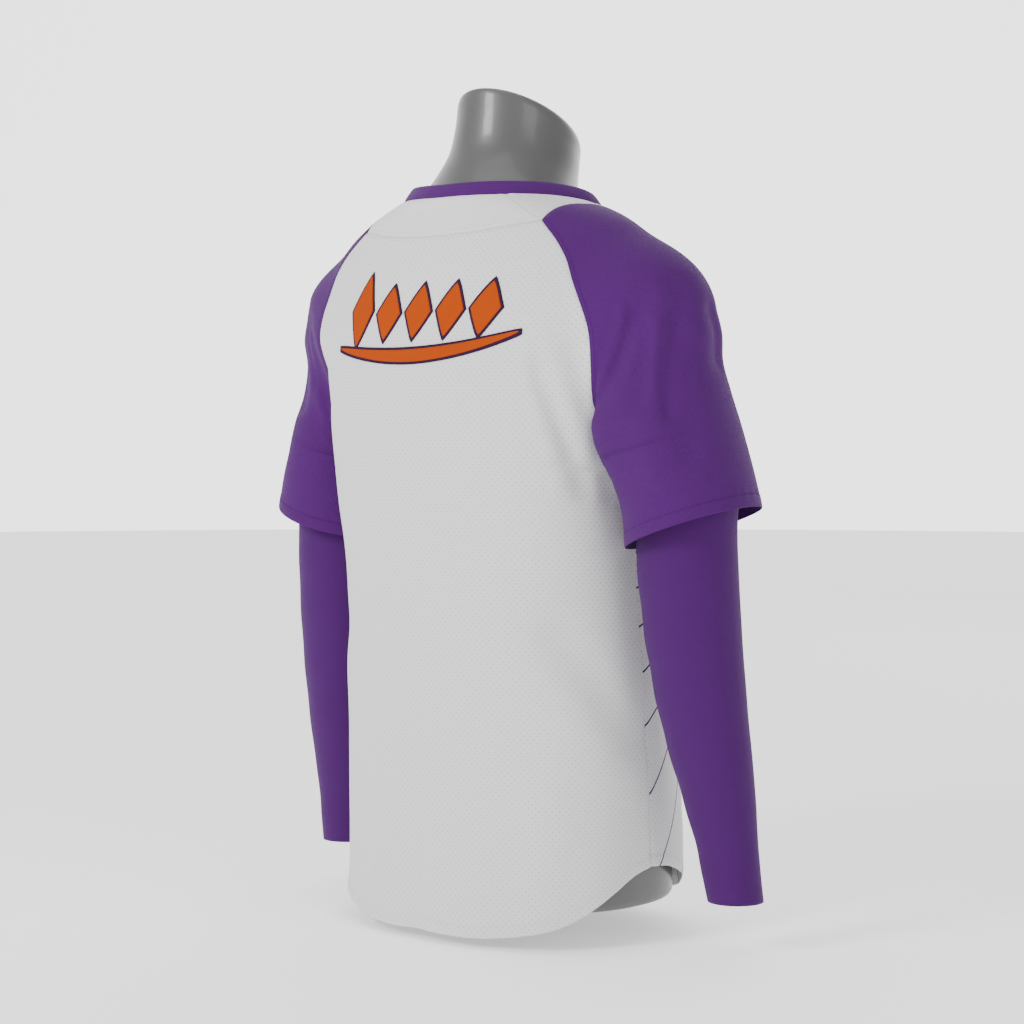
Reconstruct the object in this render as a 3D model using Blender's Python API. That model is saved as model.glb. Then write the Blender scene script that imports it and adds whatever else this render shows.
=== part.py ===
"""Baseball jersey with layered long sleeves, worn by a limbless dress form.

Metres, +Z up. The wearer faces -Y, so the back of the jersey is towards +Y and the
wearer's right side towards -X. The origin is the middle of the form's foot.

Every cloth piece is a thin wall on one skin: a stack of torso sections joined smoothly
to a slanted sleeve tube. A place on the body is an angle and a height. The angle is in
degrees round the torso, 0 at the back, 90 at the wearer's left, 180 at the front.
"""

import math

import bpy
import numpy as np

# Cloth sizes
WALL = 0.0013
BAND_WALL = 0.0018
PLACKET_WALL = 0.0014
SEAM_INSET = 0.0002
SEAM_TURN = 0.005
LAID_GAP = 0.0003
SEWN_GAP = 0.0016

# Grid sizes: steps along and across each piece
SIDE_ROWS = 9
RAGLAN_ROWS = 11
CUFF_ROWS = 5
SLEEVE_COLUMNS = 24
BACK_COLUMNS = 18
FRONT_COLUMNS = 7
YOKE_ROWS = FRONT_COLUMNS
BAND_ROWS = 2
UNDERSLEEVE_COLUMNS = 18
UNDERSLEEVE_ROWS = 12
FORM_COLUMNS = 36

EDGE_FADE = 3
STRAP_FAN = 1.8

# Neckband, placket and buttons
BAND_RISE = 0.0135
BAND_LEAN = 0.0090
PLACKET_HALF_WIDTH = 0.016
PLACKET_FLAT = 0.0065
PLACKET_ROWS = 28
BUTTON_COUNT = 7
BUTTON_RADIUS = 0.0055
BUTTON_THICKNESS = 0.0024
BUTTON_RIM = 0.0008
BUTTON_SIDES = 14

# How far the sleeve tube and the torso melt together above the underarm
MELT = 0.030
MELT_RISE = 0.070
CREASE_MARGIN = 1.2
CREASE_JUMP = 0.014

# Dress form: clear of the cloth, with a small round foot set back under it
FORM_SHRINK_TOP = 0.0008
FORM_SHRINK_LOW = 0.0080
FORM_LOWER_BY = 0.0014
FORM_BASE_Z = 0.034
FORM_EDGE = 0.008
FOOT_RADIUS = 0.060
FORM_DROP = 0.044
FORM_DROP_FROM = 0.580
FORM_TOP_Z = 0.712
FORM_RISES = (
    *(0.0, 0.002, 0.008, 0.08, 0.18, 0.28, 0.38, 0.46),
    *(0.52, 0.56, 0.59, 0.615, 0.637, 0.655, 0.668, 0.678),
)


class Table:
    """Rows of sizes with named columns, read smoothly along the first column."""

    def __init__(self, columns, *rows):
        values = np.array(rows, float)
        self.along = values[:, 0]
        self.column = {name: values[:, i] for i, name in enumerate(columns)}

    def at(self, name, where):
        knots = self.along
        values = self.column[name]
        slopes = np.gradient(values, knots)
        where = np.clip(np.asarray(where, float), knots[0], knots[-1])
        i = np.clip(np.searchsorted(knots, where, side="right") - 1, 0, len(knots) - 2)
        step = knots[i + 1] - knots[i]
        t = (where - knots[i]) / step
        start = (1 + 2 * t) * (1 - t) ** 2 * values[i] + t * (1 - t) ** 2 * step * slopes[i]
        end = t**2 * (3 - 2 * t) * values[i + 1] + t**2 * (t - 1) * step * slopes[i + 1]
        return start + end


TORSO = Table(
    ("z", "half_x", "half_y", "centre_y", "power"),
    (-0.030, 0.178, 0.136, -0.003, 2.35),
    (0.060, 0.177, 0.135, -0.003, 2.35),
    (0.150, 0.176, 0.134, -0.001, 2.35),
    (0.250, 0.172, 0.133, 0.003, 2.40),
    (0.330, 0.166, 0.134, 0.006, 2.45),
    (0.380, 0.167, 0.137, 0.007, 2.50),
    (0.420, 0.169, 0.140, 0.008, 2.60),
    (0.460, 0.173, 0.141, 0.010, 2.60),
    (0.500, 0.178, 0.139, 0.013, 2.60),
    (0.550, 0.186, 0.132, 0.016, 2.50),
    (0.590, 0.195, 0.124, 0.019, 2.40),
    (0.620, 0.200, 0.117, 0.022, 2.20),
    (0.650, 0.200, 0.108, 0.024, 2.00),
    (0.670, 0.190, 0.100, 0.025, 1.90),
    (0.690, 0.168, 0.092, 0.026, 1.80),
    (0.703, 0.140, 0.087, 0.026, 1.90),
    (0.717, 0.096, 0.083, 0.026, 2.00),
    (0.740, 0.050, 0.060, 0.020, 2.00),
)

SLEEVE = Table(
    ("z", "inner_x", "outer_x", "centre_y", "half_y"),
    (0.360, 0.1740, 0.3110, 0.0070, 0.0720),
    (0.400, 0.1740, 0.3010, 0.0075, 0.0715),
    (0.430, 0.1735, 0.2925, 0.0075, 0.0710),
    (0.458, 0.1725, 0.2840, 0.0075, 0.0700),
    (0.500, 0.1600, 0.2705, 0.0080, 0.0690),
    (0.530, 0.1450, 0.2600, 0.0090, 0.0680),
    (0.557, 0.1350, 0.2535, 0.0130, 0.0680),
    (0.585, 0.1250, 0.2560, 0.0170, 0.0680),
    (0.605, 0.1220, 0.2520, 0.0180, 0.0660),
)
SLEEVE_TOP = 0.600
SLEEVE_CAP = 0.062
SLEEVE_HEM_Z = 0.402
SLEEVE_HEM_PITCH = 19.0
SLEEVE_HEM_TILT = 0.07

UNDERSLEEVE = Table(
    ("z", "x", "y", "radius"),
    (0.0490, 0.2615, -0.0244, 0.0265),
    (0.0700, 0.2595, -0.0215, 0.0275),
    (0.1100, 0.2555, -0.0170, 0.0300),
    (0.1500, 0.2510, -0.0115, 0.0345),
    (0.2240, 0.2420, -0.0007, 0.0410),
    (0.3270, 0.2335, 0.0091, 0.0460),
    (0.4000, 0.2300, 0.0110, 0.0475),
    (0.4300, 0.2305, 0.0090, 0.0480),
)
CUFF_PITCH = 5.0
UNDERSLEEVE_TOP_Z = 0.442
UNDERSLEEVE_FREE_Z = 0.405

HEM_BACK = Table(
    ("angle", "z"),
    (0.0, 0.010),
    (20.0, 0.009),
    (40.0, 0.013),
    (60.0, 0.027),
    (75.0, 0.054),
    (84.0, 0.069),
    (90.0, 0.0745),
)
HEM_FRONT = Table(
    ("angle", "z"),
    (90.0, 0.0745),
    (98.0, 0.072),
    (110.0, 0.060),
    (130.0, 0.036),
    (150.0, 0.024),
    (180.0, 0.020),
)
NECKLINE = Table(
    ("angle", "z"),
    (0.0, 0.7160),
    (50.0, 0.7175),
    (85.0, 0.7165),
    (105.0, 0.7130),
    (125.0, 0.7050),
    (145.0, 0.6905),
    (160.0, 0.6785),
    (172.0, 0.6725),
    (180.0, 0.6715),
)
YOKE_SEAM = Table(
    ("share", "angle", "z"),
    (0.0, 0.0, 0.6780),
    (0.5, 31.0, 0.6810),
    (1.0, 62.0, 0.6900),
)
YOKE_CORNER_ANGLE = 50.0

# From the yoke corner down to the underarm, and the same at the front
RAGLAN_BACK = Table(
    ("share", "angle", "z"),
    (0.00, 62.0, 0.690),
    (0.14, 65.0, 0.661),
    (0.28, 65.7, 0.630),
    (0.46, 67.2, 0.588),
    (0.62, 69.0, 0.550),
    (0.80, 72.0, 0.508),
    (1.00, 84.0, 0.460),
)
RAGLAN_FRONT = Table(
    ("share", "angle", "z"),
    (0.00, 121.0, 0.685),
    (0.14, 118.0, 0.655),
    (0.28, 116.5, 0.625),
    (0.46, 114.5, 0.583),
    (0.62, 112.0, 0.546),
    (0.80, 108.0, 0.506),
    (1.00, 96.0, 0.460),
)

# The largest folds: each a soft groove between two points, the same on both sides
FOLDS = (
    # from x, y, z, to x, y, z, half width, depth
    (0.212, 0.081, 0.602, 0.182, 0.079, 0.520, 0.013, 0.0040),
    (0.226, 0.069, 0.612, 0.229, 0.071, 0.520, 0.013, 0.0035),
    (0.243, 0.040, 0.621, 0.265, 0.052, 0.474, 0.016, 0.0040),
    (0.254, 0.005, 0.600, 0.251, -0.005, 0.560, 0.013, 0.0020),
    (0.226, -0.045, 0.600, 0.222, -0.058, 0.500, 0.014, 0.0030),
    (0.167, 0.099, 0.566, 0.167, 0.048, 0.436, 0.014, 0.0030),
    (0.160, -0.080, 0.566, 0.166, -0.040, 0.440, 0.014, 0.0030),
    (0.141, 0.090, 0.296, 0.173, 0.024, 0.198, 0.022, 0.0040),
    (0.120, -0.120, 0.420, 0.165, -0.060, 0.300, 0.022, 0.0040),
)

# Middle of each sleeve section from the sleeve's top edge to the underarm
SLEEVE_FAN = Table(
    ("share", "x", "y", "z", "pitch"),
    (0.00, 0.111, 0.022, 0.615, 73.0),
    (0.25, 0.135, 0.020, 0.595, 52.0),
    (0.50, 0.170, 0.017, 0.575, 28.0),
    (0.75, 0.200, 0.012, 0.525, 10.0),
    (1.00, 0.226, 0.008, 0.476, 18.0),
)

# Sections of the neck: z at its back, how much lower it is at the front, and how
# late round the neck it drops
FORM_NECK = Table(
    ("row", "z", "half_x", "half_y", "centre_y", "drop", "late"),
    (0, 0.7190, 0.0855, 0.0765, 0.0220, 0.0440, 2.2),
    (1, 0.7310, 0.0765, 0.0715, 0.0150, 0.0410, 2.0),
    (2, 0.7480, 0.0690, 0.0685, 0.0060, 0.0380, 1.6),
    (3, 0.7700, 0.0630, 0.0655, -0.0030, 0.0400, 1.3),
    (4, 0.7990, 0.0605, 0.0640, -0.0085, 0.0470, 1.0),
    (5, 0.8212, 0.0595, 0.0635, -0.0110, 0.0584, 1.0),
    (6, 0.8266, 0.0560, 0.0600, -0.0110, 0.0552, 1.0),
    (7, 0.8259, 0.0480, 0.0520, -0.0110, 0.0478, 1.0),
)


def smooth_step(value):
    value = np.clip(value, 0.0, 1.0)
    return value * value * (3 - 2 * value)


def torso_field(p):
    """Below zero inside the torso, zero on its skin."""
    z = p[..., 2]
    half_x = TORSO.at("half_x", z)
    half_y = TORSO.at("half_y", z)
    power = TORSO.at("power", z)
    across = np.abs(p[..., 0]) / half_x
    deep = np.abs(p[..., 1] - TORSO.at("centre_y", z)) / half_y
    return ((across**power + deep**power) ** (1 / power) - 1) * np.minimum(half_x, half_y)


def sleeve_middle(z):
    inner = SLEEVE.at("inner_x", z)
    outer = SLEEVE.at("outer_x", z)
    return (inner + outer) / 2, SLEEVE.at("centre_y", z), (outer - inner) / 2


def sleeve_field(p):
    """Below zero inside either sleeve tube, which has a round cap at the shoulder."""
    z = p[..., 2]
    middle_x, middle_y, half_x = sleeve_middle(z)
    half_y = SLEEVE.at("half_y", z)
    above = np.maximum(z - SLEEVE_TOP, 0.0) / SLEEVE_CAP
    across = (np.abs(p[..., 0]) - middle_x) / half_x
    deep = (p[..., 1] - middle_y) / half_y
    return (np.sqrt(across**2 + deep**2 + above**2) - 1) * np.minimum(half_x, half_y)


def underarm_height():
    """The height where the sleeve's inner side meets the side of the torso."""
    low, high = SLEEVE_HEM_Z, 0.52
    for _ in range(40):
        middle = (low + high) / 2
        if SLEEVE.at("inner_x", middle) > TORSO.at("half_x", middle):
            low = middle
        else:
            high = middle
    return (low + high) / 2


UNDERARM_Z = underarm_height()


def melted(p):
    """Torso and sleeves as one, melting together more and more above the underarm."""
    torso = torso_field(p)
    sleeve = sleeve_field(p)
    reach = MELT * smooth_step((p[..., 2] - UNDERARM_Z) / MELT_RISE) + 1e-6
    near = np.maximum(reach - np.abs(torso - sleeve), 0.0) / reach
    return np.minimum(torso, sleeve) - near**2 * reach / 4


def fold_depth(p):
    """How far the folds press the skin in at each point."""
    mirrored_in = np.concatenate([np.abs(p[..., :1]), p[..., 1:]], -1)
    total = np.zeros(p.shape[:-1])
    for *ends, half_width, depth in FOLDS:
        start, end = np.array(ends[:3]), np.array(ends[3:])
        way = end - start
        share = np.clip(((mirrored_in - start) @ way) / (way @ way), 0, 1)
        away = mirrored_in - start - share[..., None] * way
        total = total + depth * np.exp(-(away**2).sum(-1) / half_width**2)
    return total


def body_skin(p):
    return np.where(p[..., 2] > UNDERARM_Z, melted(p), torso_field(p)) + fold_depth(p)


def sleeve_skin(p):
    return np.where(p[..., 2] > UNDERARM_Z, melted(p), sleeve_field(p)) + fold_depth(p)


def cast(start, direction, skin, reach=0.34, steps=68):
    """Where each ray from inside first leaves the skin."""
    direction = direction / np.linalg.norm(direction, axis=-1, keepdims=True)
    far = np.linspace(0.004, reach, steps)
    along = start[..., None, :] + direction[..., None, :] * far[:, None]
    outside = skin(along) > 0
    first = np.argmax(outside, axis=-1)
    high = far[first]
    low = far[np.maximum(first - 1, 0)]
    for _ in range(22):
        middle = (low + high) / 2
        out = skin(start + direction * middle[..., None]) > 0
        high = np.where(out, middle, high)
        low = np.where(out, low, middle)
    return start + direction * high[..., None]


def normals_on(points, skin, step=0.0008):
    """Outward unit normals of the skin at points on it."""
    slope = np.zeros_like(points)
    for axis in range(3):
        shift = np.zeros(3)
        shift[axis] = step
        slope[..., axis] = skin(points + shift) - skin(points - shift)
    return slope / np.linalg.norm(slope, axis=-1, keepdims=True)


def place(angles, heights):
    """The point of the body skin at each angle and height."""
    turn = np.radians(np.asarray(angles, float))
    heights = np.asarray(heights, float)
    zero = np.zeros_like(turn)
    start = np.stack([zero, TORSO.at("centre_y", heights) + zero, heights + zero], -1)
    direction = np.stack([np.sin(turn), np.cos(turn), zero], -1)
    return cast(start, direction, body_skin)


def angle_of(points):
    """The angle of each point round the torso, in degrees."""
    deep = points[..., 1] - TORSO.at("centre_y", points[..., 2])
    return np.degrees(np.arctan2(points[..., 0], deep))


def coons(bottom, top, left, right):
    """Angles and heights inside four edges that are lists of angle and height.

    The bends of the bottom and the top edge die out quickly away from them.
    """
    across = np.linspace(0, 1, len(bottom))[None, :, None]
    up = np.linspace(0, 1, len(left))[:, None, None]
    ruled = (1 - across) * left[:, None] + across * right[:, None]
    bottom_bend = bottom - (1 - across) * bottom[0] - across * bottom[-1]
    top_bend = top - (1 - across) * top[0] - across * top[-1]
    return ruled + (1 - up) ** EDGE_FADE * bottom_bend + up**EDGE_FADE * top_bend


def crease_angle(heights, side):
    """Where a ray stops leaving by the torso and runs on into the sleeve tube.

    The crease behind the sleeve is side 1, the one before it is side -1.
    """
    start = torso_axis(heights)
    near = np.full(len(heights), 90.0)
    far = near - side * 60.0
    for _ in range(30):
        middle = (near + far) / 2
        turn = np.radians(middle)
        way = np.stack([np.sin(turn), np.cos(turn), 0 * turn], -1)
        further = np.linalg.norm(cast(start, way, melted) - cast(start, way, torso_field), axis=-1)
        inside = further > CREASE_JUMP
        near = np.where(inside, middle, near)
        far = np.where(inside, far, middle)
    return (near + far) / 2


def torso_axis(heights):
    heights = np.asarray(heights, float)
    return np.stack([0 * heights, TORSO.at("centre_y", heights), heights], -1)


def pairs(angles, heights):
    return np.stack([np.asarray(angles, float), np.asarray(heights, float)], -1)


def raglan(table, side):
    """Angles and heights down a raglan seam, from its top to the underarm.

    Low down it stays on the torso's side of the crease that the sleeve makes.
    """
    share = np.linspace(0, 1, RAGLAN_ROWS + 1)
    height = table.at("z", share)
    height[-1] = UNDERARM_Z
    angle = table.at("angle", share)
    crease = crease_angle(height, side) - side * CREASE_MARGIN
    angle = np.minimum(angle, crease) if side > 0 else np.maximum(angle, crease)
    angle[-1] = 90.0
    return pairs(angle, height)


BACK_SEAM = raglan(RAGLAN_BACK, 1)
FRONT_SEAM = raglan(RAGLAN_FRONT, -1)


def inset(points, edges, by):
    """Pulls the named edges of a grid back from the seam line."""
    moved = points.copy()
    ways = {
        "first_row": (np.s_[0], np.s_[1]),
        "last_row": (np.s_[-1], np.s_[-2]),
        "first_column": (np.s_[:, 0], np.s_[:, 1]),
        "last_column": (np.s_[:, -1], np.s_[:, -2]),
    }
    for edge in edges:
        rim, next_in = ways[edge]
        step = points[next_in] - points[rim]
        step = step / np.linalg.norm(step, axis=-1, keepdims=True)
        moved[rim] = moved[rim] + step * by
    return moved


ALL_EDGES = ("first_row", "last_row", "first_column", "last_column")


def sleeve_grid(share_rows=RAGLAN_ROWS):
    """The wearer's left sleeve: rows from the top edge to the hem, columns from back to front."""
    share = np.linspace(0, 1, share_rows + 1)
    upper = np.stack([SLEEVE_FAN.at(name, share) for name in "xyz"], -1)
    upper_pitch = SLEEVE_FAN.at("pitch", share)
    below = np.linspace(0, 1, CUFF_ROWS + 1)[1:]
    middle_z = upper[-1, 2] + (SLEEVE_HEM_Z - upper[-1, 2]) * below
    middle_x, middle_y, _ = sleeve_middle(middle_z)
    lower = np.stack([middle_x, middle_y, middle_z], -1)
    lower_pitch = upper_pitch[-1] + (SLEEVE_HEM_PITCH - upper_pitch[-1]) * below
    middles = np.concatenate([upper, lower])
    pitch = np.radians(np.concatenate([upper_pitch, lower_pitch]))
    outward = np.stack([np.cos(pitch), np.zeros_like(pitch), np.sin(pitch)], -1)
    back = place(BACK_SEAM[:, 0], BACK_SEAM[:, 1])
    front = place(FRONT_SEAM[:, 0], FRONT_SEAM[:, 1])

    across = np.linspace(0, 1, SLEEVE_COLUMNS + 1)
    rows = []
    for i, middle in enumerate(middles):
        flat_back, flat_front = math.pi, -math.pi
        lift_back = lift_front = np.zeros(3)
        if i < share_rows:
            to_back = (back[i] - middle) / np.linalg.norm(back[i] - middle)
            to_front = (front[i] - middle) / np.linalg.norm(front[i] - middle)
            flat_back = math.atan2(to_back[1], to_back @ outward[i])
            flat_front = math.atan2(to_front[1], to_front @ outward[i])
            lift_back = to_back - turned(outward[i], flat_back)
            lift_front = to_front - turned(outward[i], flat_front)
        tilt = SLEEVE_HEM_TILT * max(0, i - share_rows) / CUFF_ROWS
        turn = flat_back + (flat_front - flat_back) * across
        way = np.array([turned(outward[i], angle) for angle in turn])
        way[:, 2] -= way[:, 1] * tilt
        way = way + np.outer(1 - across, lift_back) + np.outer(across, lift_front)
        row = cast(np.broadcast_to(middle, way.shape), way, sleeve_skin, reach=0.16)
        if i <= share_rows:
            row[0] = back[i]
            row[-1] = front[i]
        rows.append(row)
    return np.array(rows)


def turned(outward, angle):
    return outward * math.cos(angle) + np.array([0.0, math.sin(angle), 0.0])


SLEEVE_POINTS = sleeve_grid()
TOP_EDGE = pairs(angle_of(SLEEVE_POINTS[0]), SLEEVE_POINTS[0, :, 2])


def side_seam(hem_z):
    """Angles and heights up the side seam, from the hem to just under the underarm."""
    height = np.linspace(hem_z, UNDERARM_Z, SIDE_ROWS + 1)
    return pairs(np.full(SIDE_ROWS + 1, 90.0), height)


def back_grid():
    right = np.concatenate([side_seam(HEM_BACK.at("z", 90.0))[:-1], BACK_SEAM[::-1]])
    left = right * (-1.0, 1.0)
    across = np.linspace(-1, 1, BACK_COLUMNS + 1)
    hem_angle = 90.0 * across
    bottom = pairs(hem_angle, HEM_BACK.at("z", np.abs(hem_angle)))
    top = pairs(
        np.sign(across) * YOKE_SEAM.at("angle", np.abs(across)),
        YOKE_SEAM.at("z", np.abs(across)),
    )
    flat = coons(bottom, top, left, right)
    return place(flat[..., 0], flat[..., 1])


def yoke_grid():
    across = np.linspace(-1, 1, BACK_COLUMNS + 1)
    bottom = pairs(
        np.sign(across) * YOKE_SEAM.at("angle", np.abs(across)),
        YOKE_SEAM.at("z", np.abs(across)),
    )
    neck_angle = YOKE_CORNER_ANGLE * across
    top = pairs(neck_angle, NECKLINE.at("z", np.abs(neck_angle)))
    up = np.linspace(0, 1, YOKE_ROWS + 1)[:, None]
    left = bottom[0] + (top[0] - bottom[0]) * up
    right = bottom[-1] + (top[-1] - bottom[-1]) * up
    flat = coons(bottom, top, left, right)
    return place(flat[..., 0], flat[..., 1])


def front_neck_angles():
    """From the middle of the front round to the yoke, the first steps wider."""
    share = np.linspace(0, 1, SLEEVE_COLUMNS + 1)
    return 180.0 + (YOKE_CORNER_ANGLE - 180.0) * (1 - (1 - share) ** STRAP_FAN)


def front_centre_heights():
    low = np.linspace(HEM_FRONT.at("z", 180.0), UNDERARM_Z, SIDE_ROWS + 1)[:-1]
    high = np.linspace(UNDERARM_Z, NECKLINE.at("z", 180.0), RAGLAN_ROWS + 1)
    return np.concatenate([low, high])


def front_grid():
    """The wearer's left front, with its strap over the shoulder to the back yoke."""
    side = side_seam(HEM_FRONT.at("z", 90.0))[:-1]
    outer = np.concatenate([side, FRONT_SEAM[::-1], TOP_EDGE[::-1][1:]])
    centre = front_centre_heights()
    neck_angle = front_neck_angles()[1:]
    inner = np.concatenate(
        [
            pairs(np.full(len(centre), 180.0), centre),
            pairs(neck_angle, NECKLINE.at("z", neck_angle)),
        ]
    )
    hem_angle = np.linspace(90.0, 180.0, FRONT_COLUMNS + 1)
    bottom = pairs(hem_angle, HEM_FRONT.at("z", hem_angle))
    across = np.linspace(0, 1, FRONT_COLUMNS + 1)[:, None]
    top = outer[-1] + (inner[-1] - outer[-1]) * across
    flat = coons(bottom, top, outer, inner)
    return place(flat[..., 0], flat[..., 1])


def make_material(name, colour, roughness, coat=0.0):
    """A plain finish: linear colour, roughness and clear coat."""
    material = bpy.data.materials.new(name)
    material.use_nodes = True
    shader = material.node_tree.nodes["Principled BSDF"]
    shader.inputs["Base Color"].default_value = (*colour, 1.0)
    shader.inputs["Roughness"].default_value = roughness
    shader.inputs["Metallic"].default_value = 0.0
    shader.inputs["Coat Weight"].default_value = coat
    return material


def add_object(name, points, faces, material):
    mesh = bpy.data.meshes.new(name)
    mesh.from_pydata([tuple(point) for point in points], [], faces)
    mesh.materials.append(material)
    mesh.shade_smooth()
    mesh.set_sharp_from_angle(angle=math.radians(40))
    piece = bpy.data.objects.new(name, mesh)
    bpy.context.scene.collection.objects.link(piece)
    return piece


def add_wall(name, outer, inner, material, ring=False):
    """A closed wall between two grids. A ring's last column joins its first."""
    rows, columns = outer.shape[:2]
    count = rows * columns
    points = np.concatenate([outer.reshape(-1, 3), inner.reshape(-1, 3)])
    faces = []
    for i in range(rows - 1):
        for j in range(columns if ring else columns - 1):
            k = (j + 1) % columns
            quad = (i * columns + j, i * columns + k, (i + 1) * columns + k, (i + 1) * columns + j)
            for triangle in split(points, quad):
                faces.append(triangle)
                faces.append(tuple(count + v for v in reversed(triangle)))
    rim = []
    for j in range(columns if ring else columns - 1):
        k = (j + 1) % columns
        rim.append((j, k))
        rim.append(((rows - 1) * columns + k, (rows - 1) * columns + j))
    if not ring:
        for i in range(rows - 1):
            rim.append(((i + 1) * columns, i * columns))
            rim.append((i * columns + columns - 1, (i + 1) * columns + columns - 1))
    for a, b in rim:
        faces.append((a, count + a, count + b, b))
    if signed_volume(points, faces) < 0:
        faces = [tuple(reversed(face)) for face in faces]
    return add_object(name, points, faces, material)


def split(points, quad):
    """Two triangles, cut along the quad's shorter diagonal."""
    a, b, c, d = quad
    if np.linalg.norm(points[a] - points[c]) <= np.linalg.norm(points[b] - points[d]):
        return (a, b, c), (a, c, d)
    return (a, b, d), (b, c, d)


def signed_volume(points, faces):
    total = 0.0
    for face in faces:
        for i in range(1, len(face) - 1):
            a, b, c = points[face[0]], points[face[i]], points[face[i + 1]]
            total += np.dot(a, np.cross(b, c))
    return total


def mirrored(points):
    return points * (-1.0, 1.0, 1.0)


def add_panel(name, grid, skin, edges, material):
    """A wall of cloth under the grid's points, each edge square to its own side of the seam."""
    normals = normals_on(inset(grid, edges, SEAM_TURN), skin)
    outer = inset(grid, edges, SEAM_INSET)
    add_wall(name, outer, outer - normals * WALL, material)


def add_neckband(material):
    """A leaning ring on the neckline, with a column at each point of the panels below it."""
    yoke = YOKE_CORNER_ANGLE * np.linspace(-1, 1, BACK_COLUMNS + 1)
    front = front_neck_angles()
    angle = np.concatenate([yoke, front[::-1][1:], -front[1:-1]])
    base = place(angle, NECKLINE.at("z", np.abs(angle)))
    skin_normal = normals_on(base, body_skin)
    turn = np.radians(angle)
    radial = np.stack([np.sin(turn), np.cos(turn), np.zeros_like(turn)], -1)
    rise = np.array([0.0, 0.0, BAND_RISE]) - radial * BAND_LEAN
    way = rise / np.linalg.norm(rise, axis=-1, keepdims=True)
    square = np.cross(np.cross(way, radial), way)
    square = square / np.linalg.norm(square, axis=-1, keepdims=True)
    outer, inner = [], []
    for i in range(BAND_ROWS + 1):
        share = i / BAND_ROWS
        line = base + way * SEAM_INSET + rise * share
        normal = skin_normal + (square - skin_normal) * smooth_step(share * 2)
        normal = normal / np.linalg.norm(normal, axis=-1, keepdims=True)
        outer.append(line)
        inner.append(line - normal * BAND_WALL)
    add_wall("neckband", np.array(outer), np.array(inner), material, ring=True)


def placket_lines():
    """Points and normals on the front, in rows up the middle and columns across it."""
    low = HEM_FRONT.at("z", 180.0) + 0.001
    high = NECKLINE.at("z", 180.0) - 0.001
    heights = np.linspace(low, high, PLACKET_ROWS + 1)
    across = np.array([-PLACKET_HALF_WIDTH, -PLACKET_FLAT, PLACKET_FLAT, PLACKET_HALF_WIDTH])
    start = np.zeros((len(heights), len(across), 3))
    start[..., 0] = across
    start[..., 1] = TORSO.at("centre_y", heights)[:, None]
    start[..., 2] = heights[:, None]
    forward = np.zeros_like(start)
    forward[..., 1] = -1.0
    points = cast(start, forward, body_skin)
    centre = place(np.full(len(front_centre_heights()), 180.0), front_centre_heights())
    panel_y = np.interp(heights, centre[:, 2], centre[:, 1])
    points[..., 1] = np.minimum(points[..., 1], panel_y[:, None])
    return points, normals_on(points, body_skin)


def add_placket(material):
    points, normals = placket_lines()
    inner = points + normals * LAID_GAP
    add_wall("placket", inner + normals * PLACKET_WALL, inner, material)


def add_buttons(material):
    points, normals = placket_lines()
    top = points + normals * (LAID_GAP + PLACKET_WALL)
    pitch = PLACKET_ROWS // BUTTON_COUNT
    for number in range(BUTTON_COUNT):
        row = pitch // 2 + number * pitch
        corners = top[row : row + 2, 1:3].reshape(4, 3)
        middle = corners.mean(axis=0)
        normal = normals[row : row + 2, 1:3].reshape(4, 3).mean(axis=0)
        normal = normal / np.linalg.norm(normal)
        add_button(f"button_{number + 1}", middle + normal * LAID_GAP, normal, material)


def add_button(name, foot, normal, material):
    """A round button with a softened rim, standing on its back face."""
    side = np.array([1.0, 0.0, 0.0])
    side = side - normal * (side @ normal)
    side = side / np.linalg.norm(side)
    other = np.cross(normal, side)
    profile = (
        (BUTTON_RADIUS, 0.0),
        (BUTTON_RADIUS, BUTTON_THICKNESS - BUTTON_RIM),
        (BUTTON_RADIUS - BUTTON_RIM, BUTTON_THICKNESS),
    )
    points = []
    for radius, high in profile:
        for k in range(BUTTON_SIDES):
            turn = 2 * math.pi * k / BUTTON_SIDES
            points.append(foot + normal * high + (side * math.cos(turn) + other * math.sin(turn)) * radius)
    add_lathe(name, np.array(points), len(profile), BUTTON_SIDES, material)


def add_lathe(name, points, rings, columns, material):
    """A closed solid from stacked rings, with a flat cap at each end."""
    faces = [tuple(reversed(range(columns)))]
    for i in range(rings - 1):
        for j in range(columns):
            k = (j + 1) % columns
            faces.append((i * columns + j, i * columns + k, (i + 1) * columns + k, (i + 1) * columns + j))
    faces.append(tuple((rings - 1) * columns + j for j in range(columns)))
    if signed_volume(points, faces) < 0:
        faces = [tuple(reversed(face)) for face in faces]
    return add_object(name, points, faces, material)


def undersleeve_grid():
    """The wearer's left undersleeve: rings from inside the short sleeve to the cuff."""
    turn = np.linspace(0, 2 * math.pi, UNDERSLEEVE_COLUMNS, endpoint=False)
    heights = np.concatenate(
        [
            np.linspace(UNDERSLEEVE_TOP_Z, UNDERSLEEVE_FREE_Z, 3),
            np.linspace(UNDERSLEEVE_FREE_Z, UNDERSLEEVE.along[0], UNDERSLEEVE_ROWS - 1)[1:],
        ]
    )
    rings = []
    for height in heights:
        own = smooth_step((UNDERSLEEVE_TOP_Z - height) / (UNDERSLEEVE_TOP_Z - UNDERSLEEVE_FREE_Z))
        pitch = SLEEVE_HEM_PITCH * (height - UNDERSLEEVE.along[0]) / UNDERSLEEVE_TOP_Z
        slope = math.tan(math.radians(pitch + CUFF_PITCH * (1 - own)))
        radius = UNDERSLEEVE.at("radius", height)
        x = UNDERSLEEVE.at("x", height) + radius * np.cos(turn)
        y = UNDERSLEEVE.at("y", height) + radius * np.sin(turn)
        z = height + (x - UNDERSLEEVE.at("x", height)) * slope
        sewn = sewn_ring(height, turn)
        rings.append(np.stack([x, y, z], -1) * own + sewn * (1 - own))
    return np.array(rings)


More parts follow.
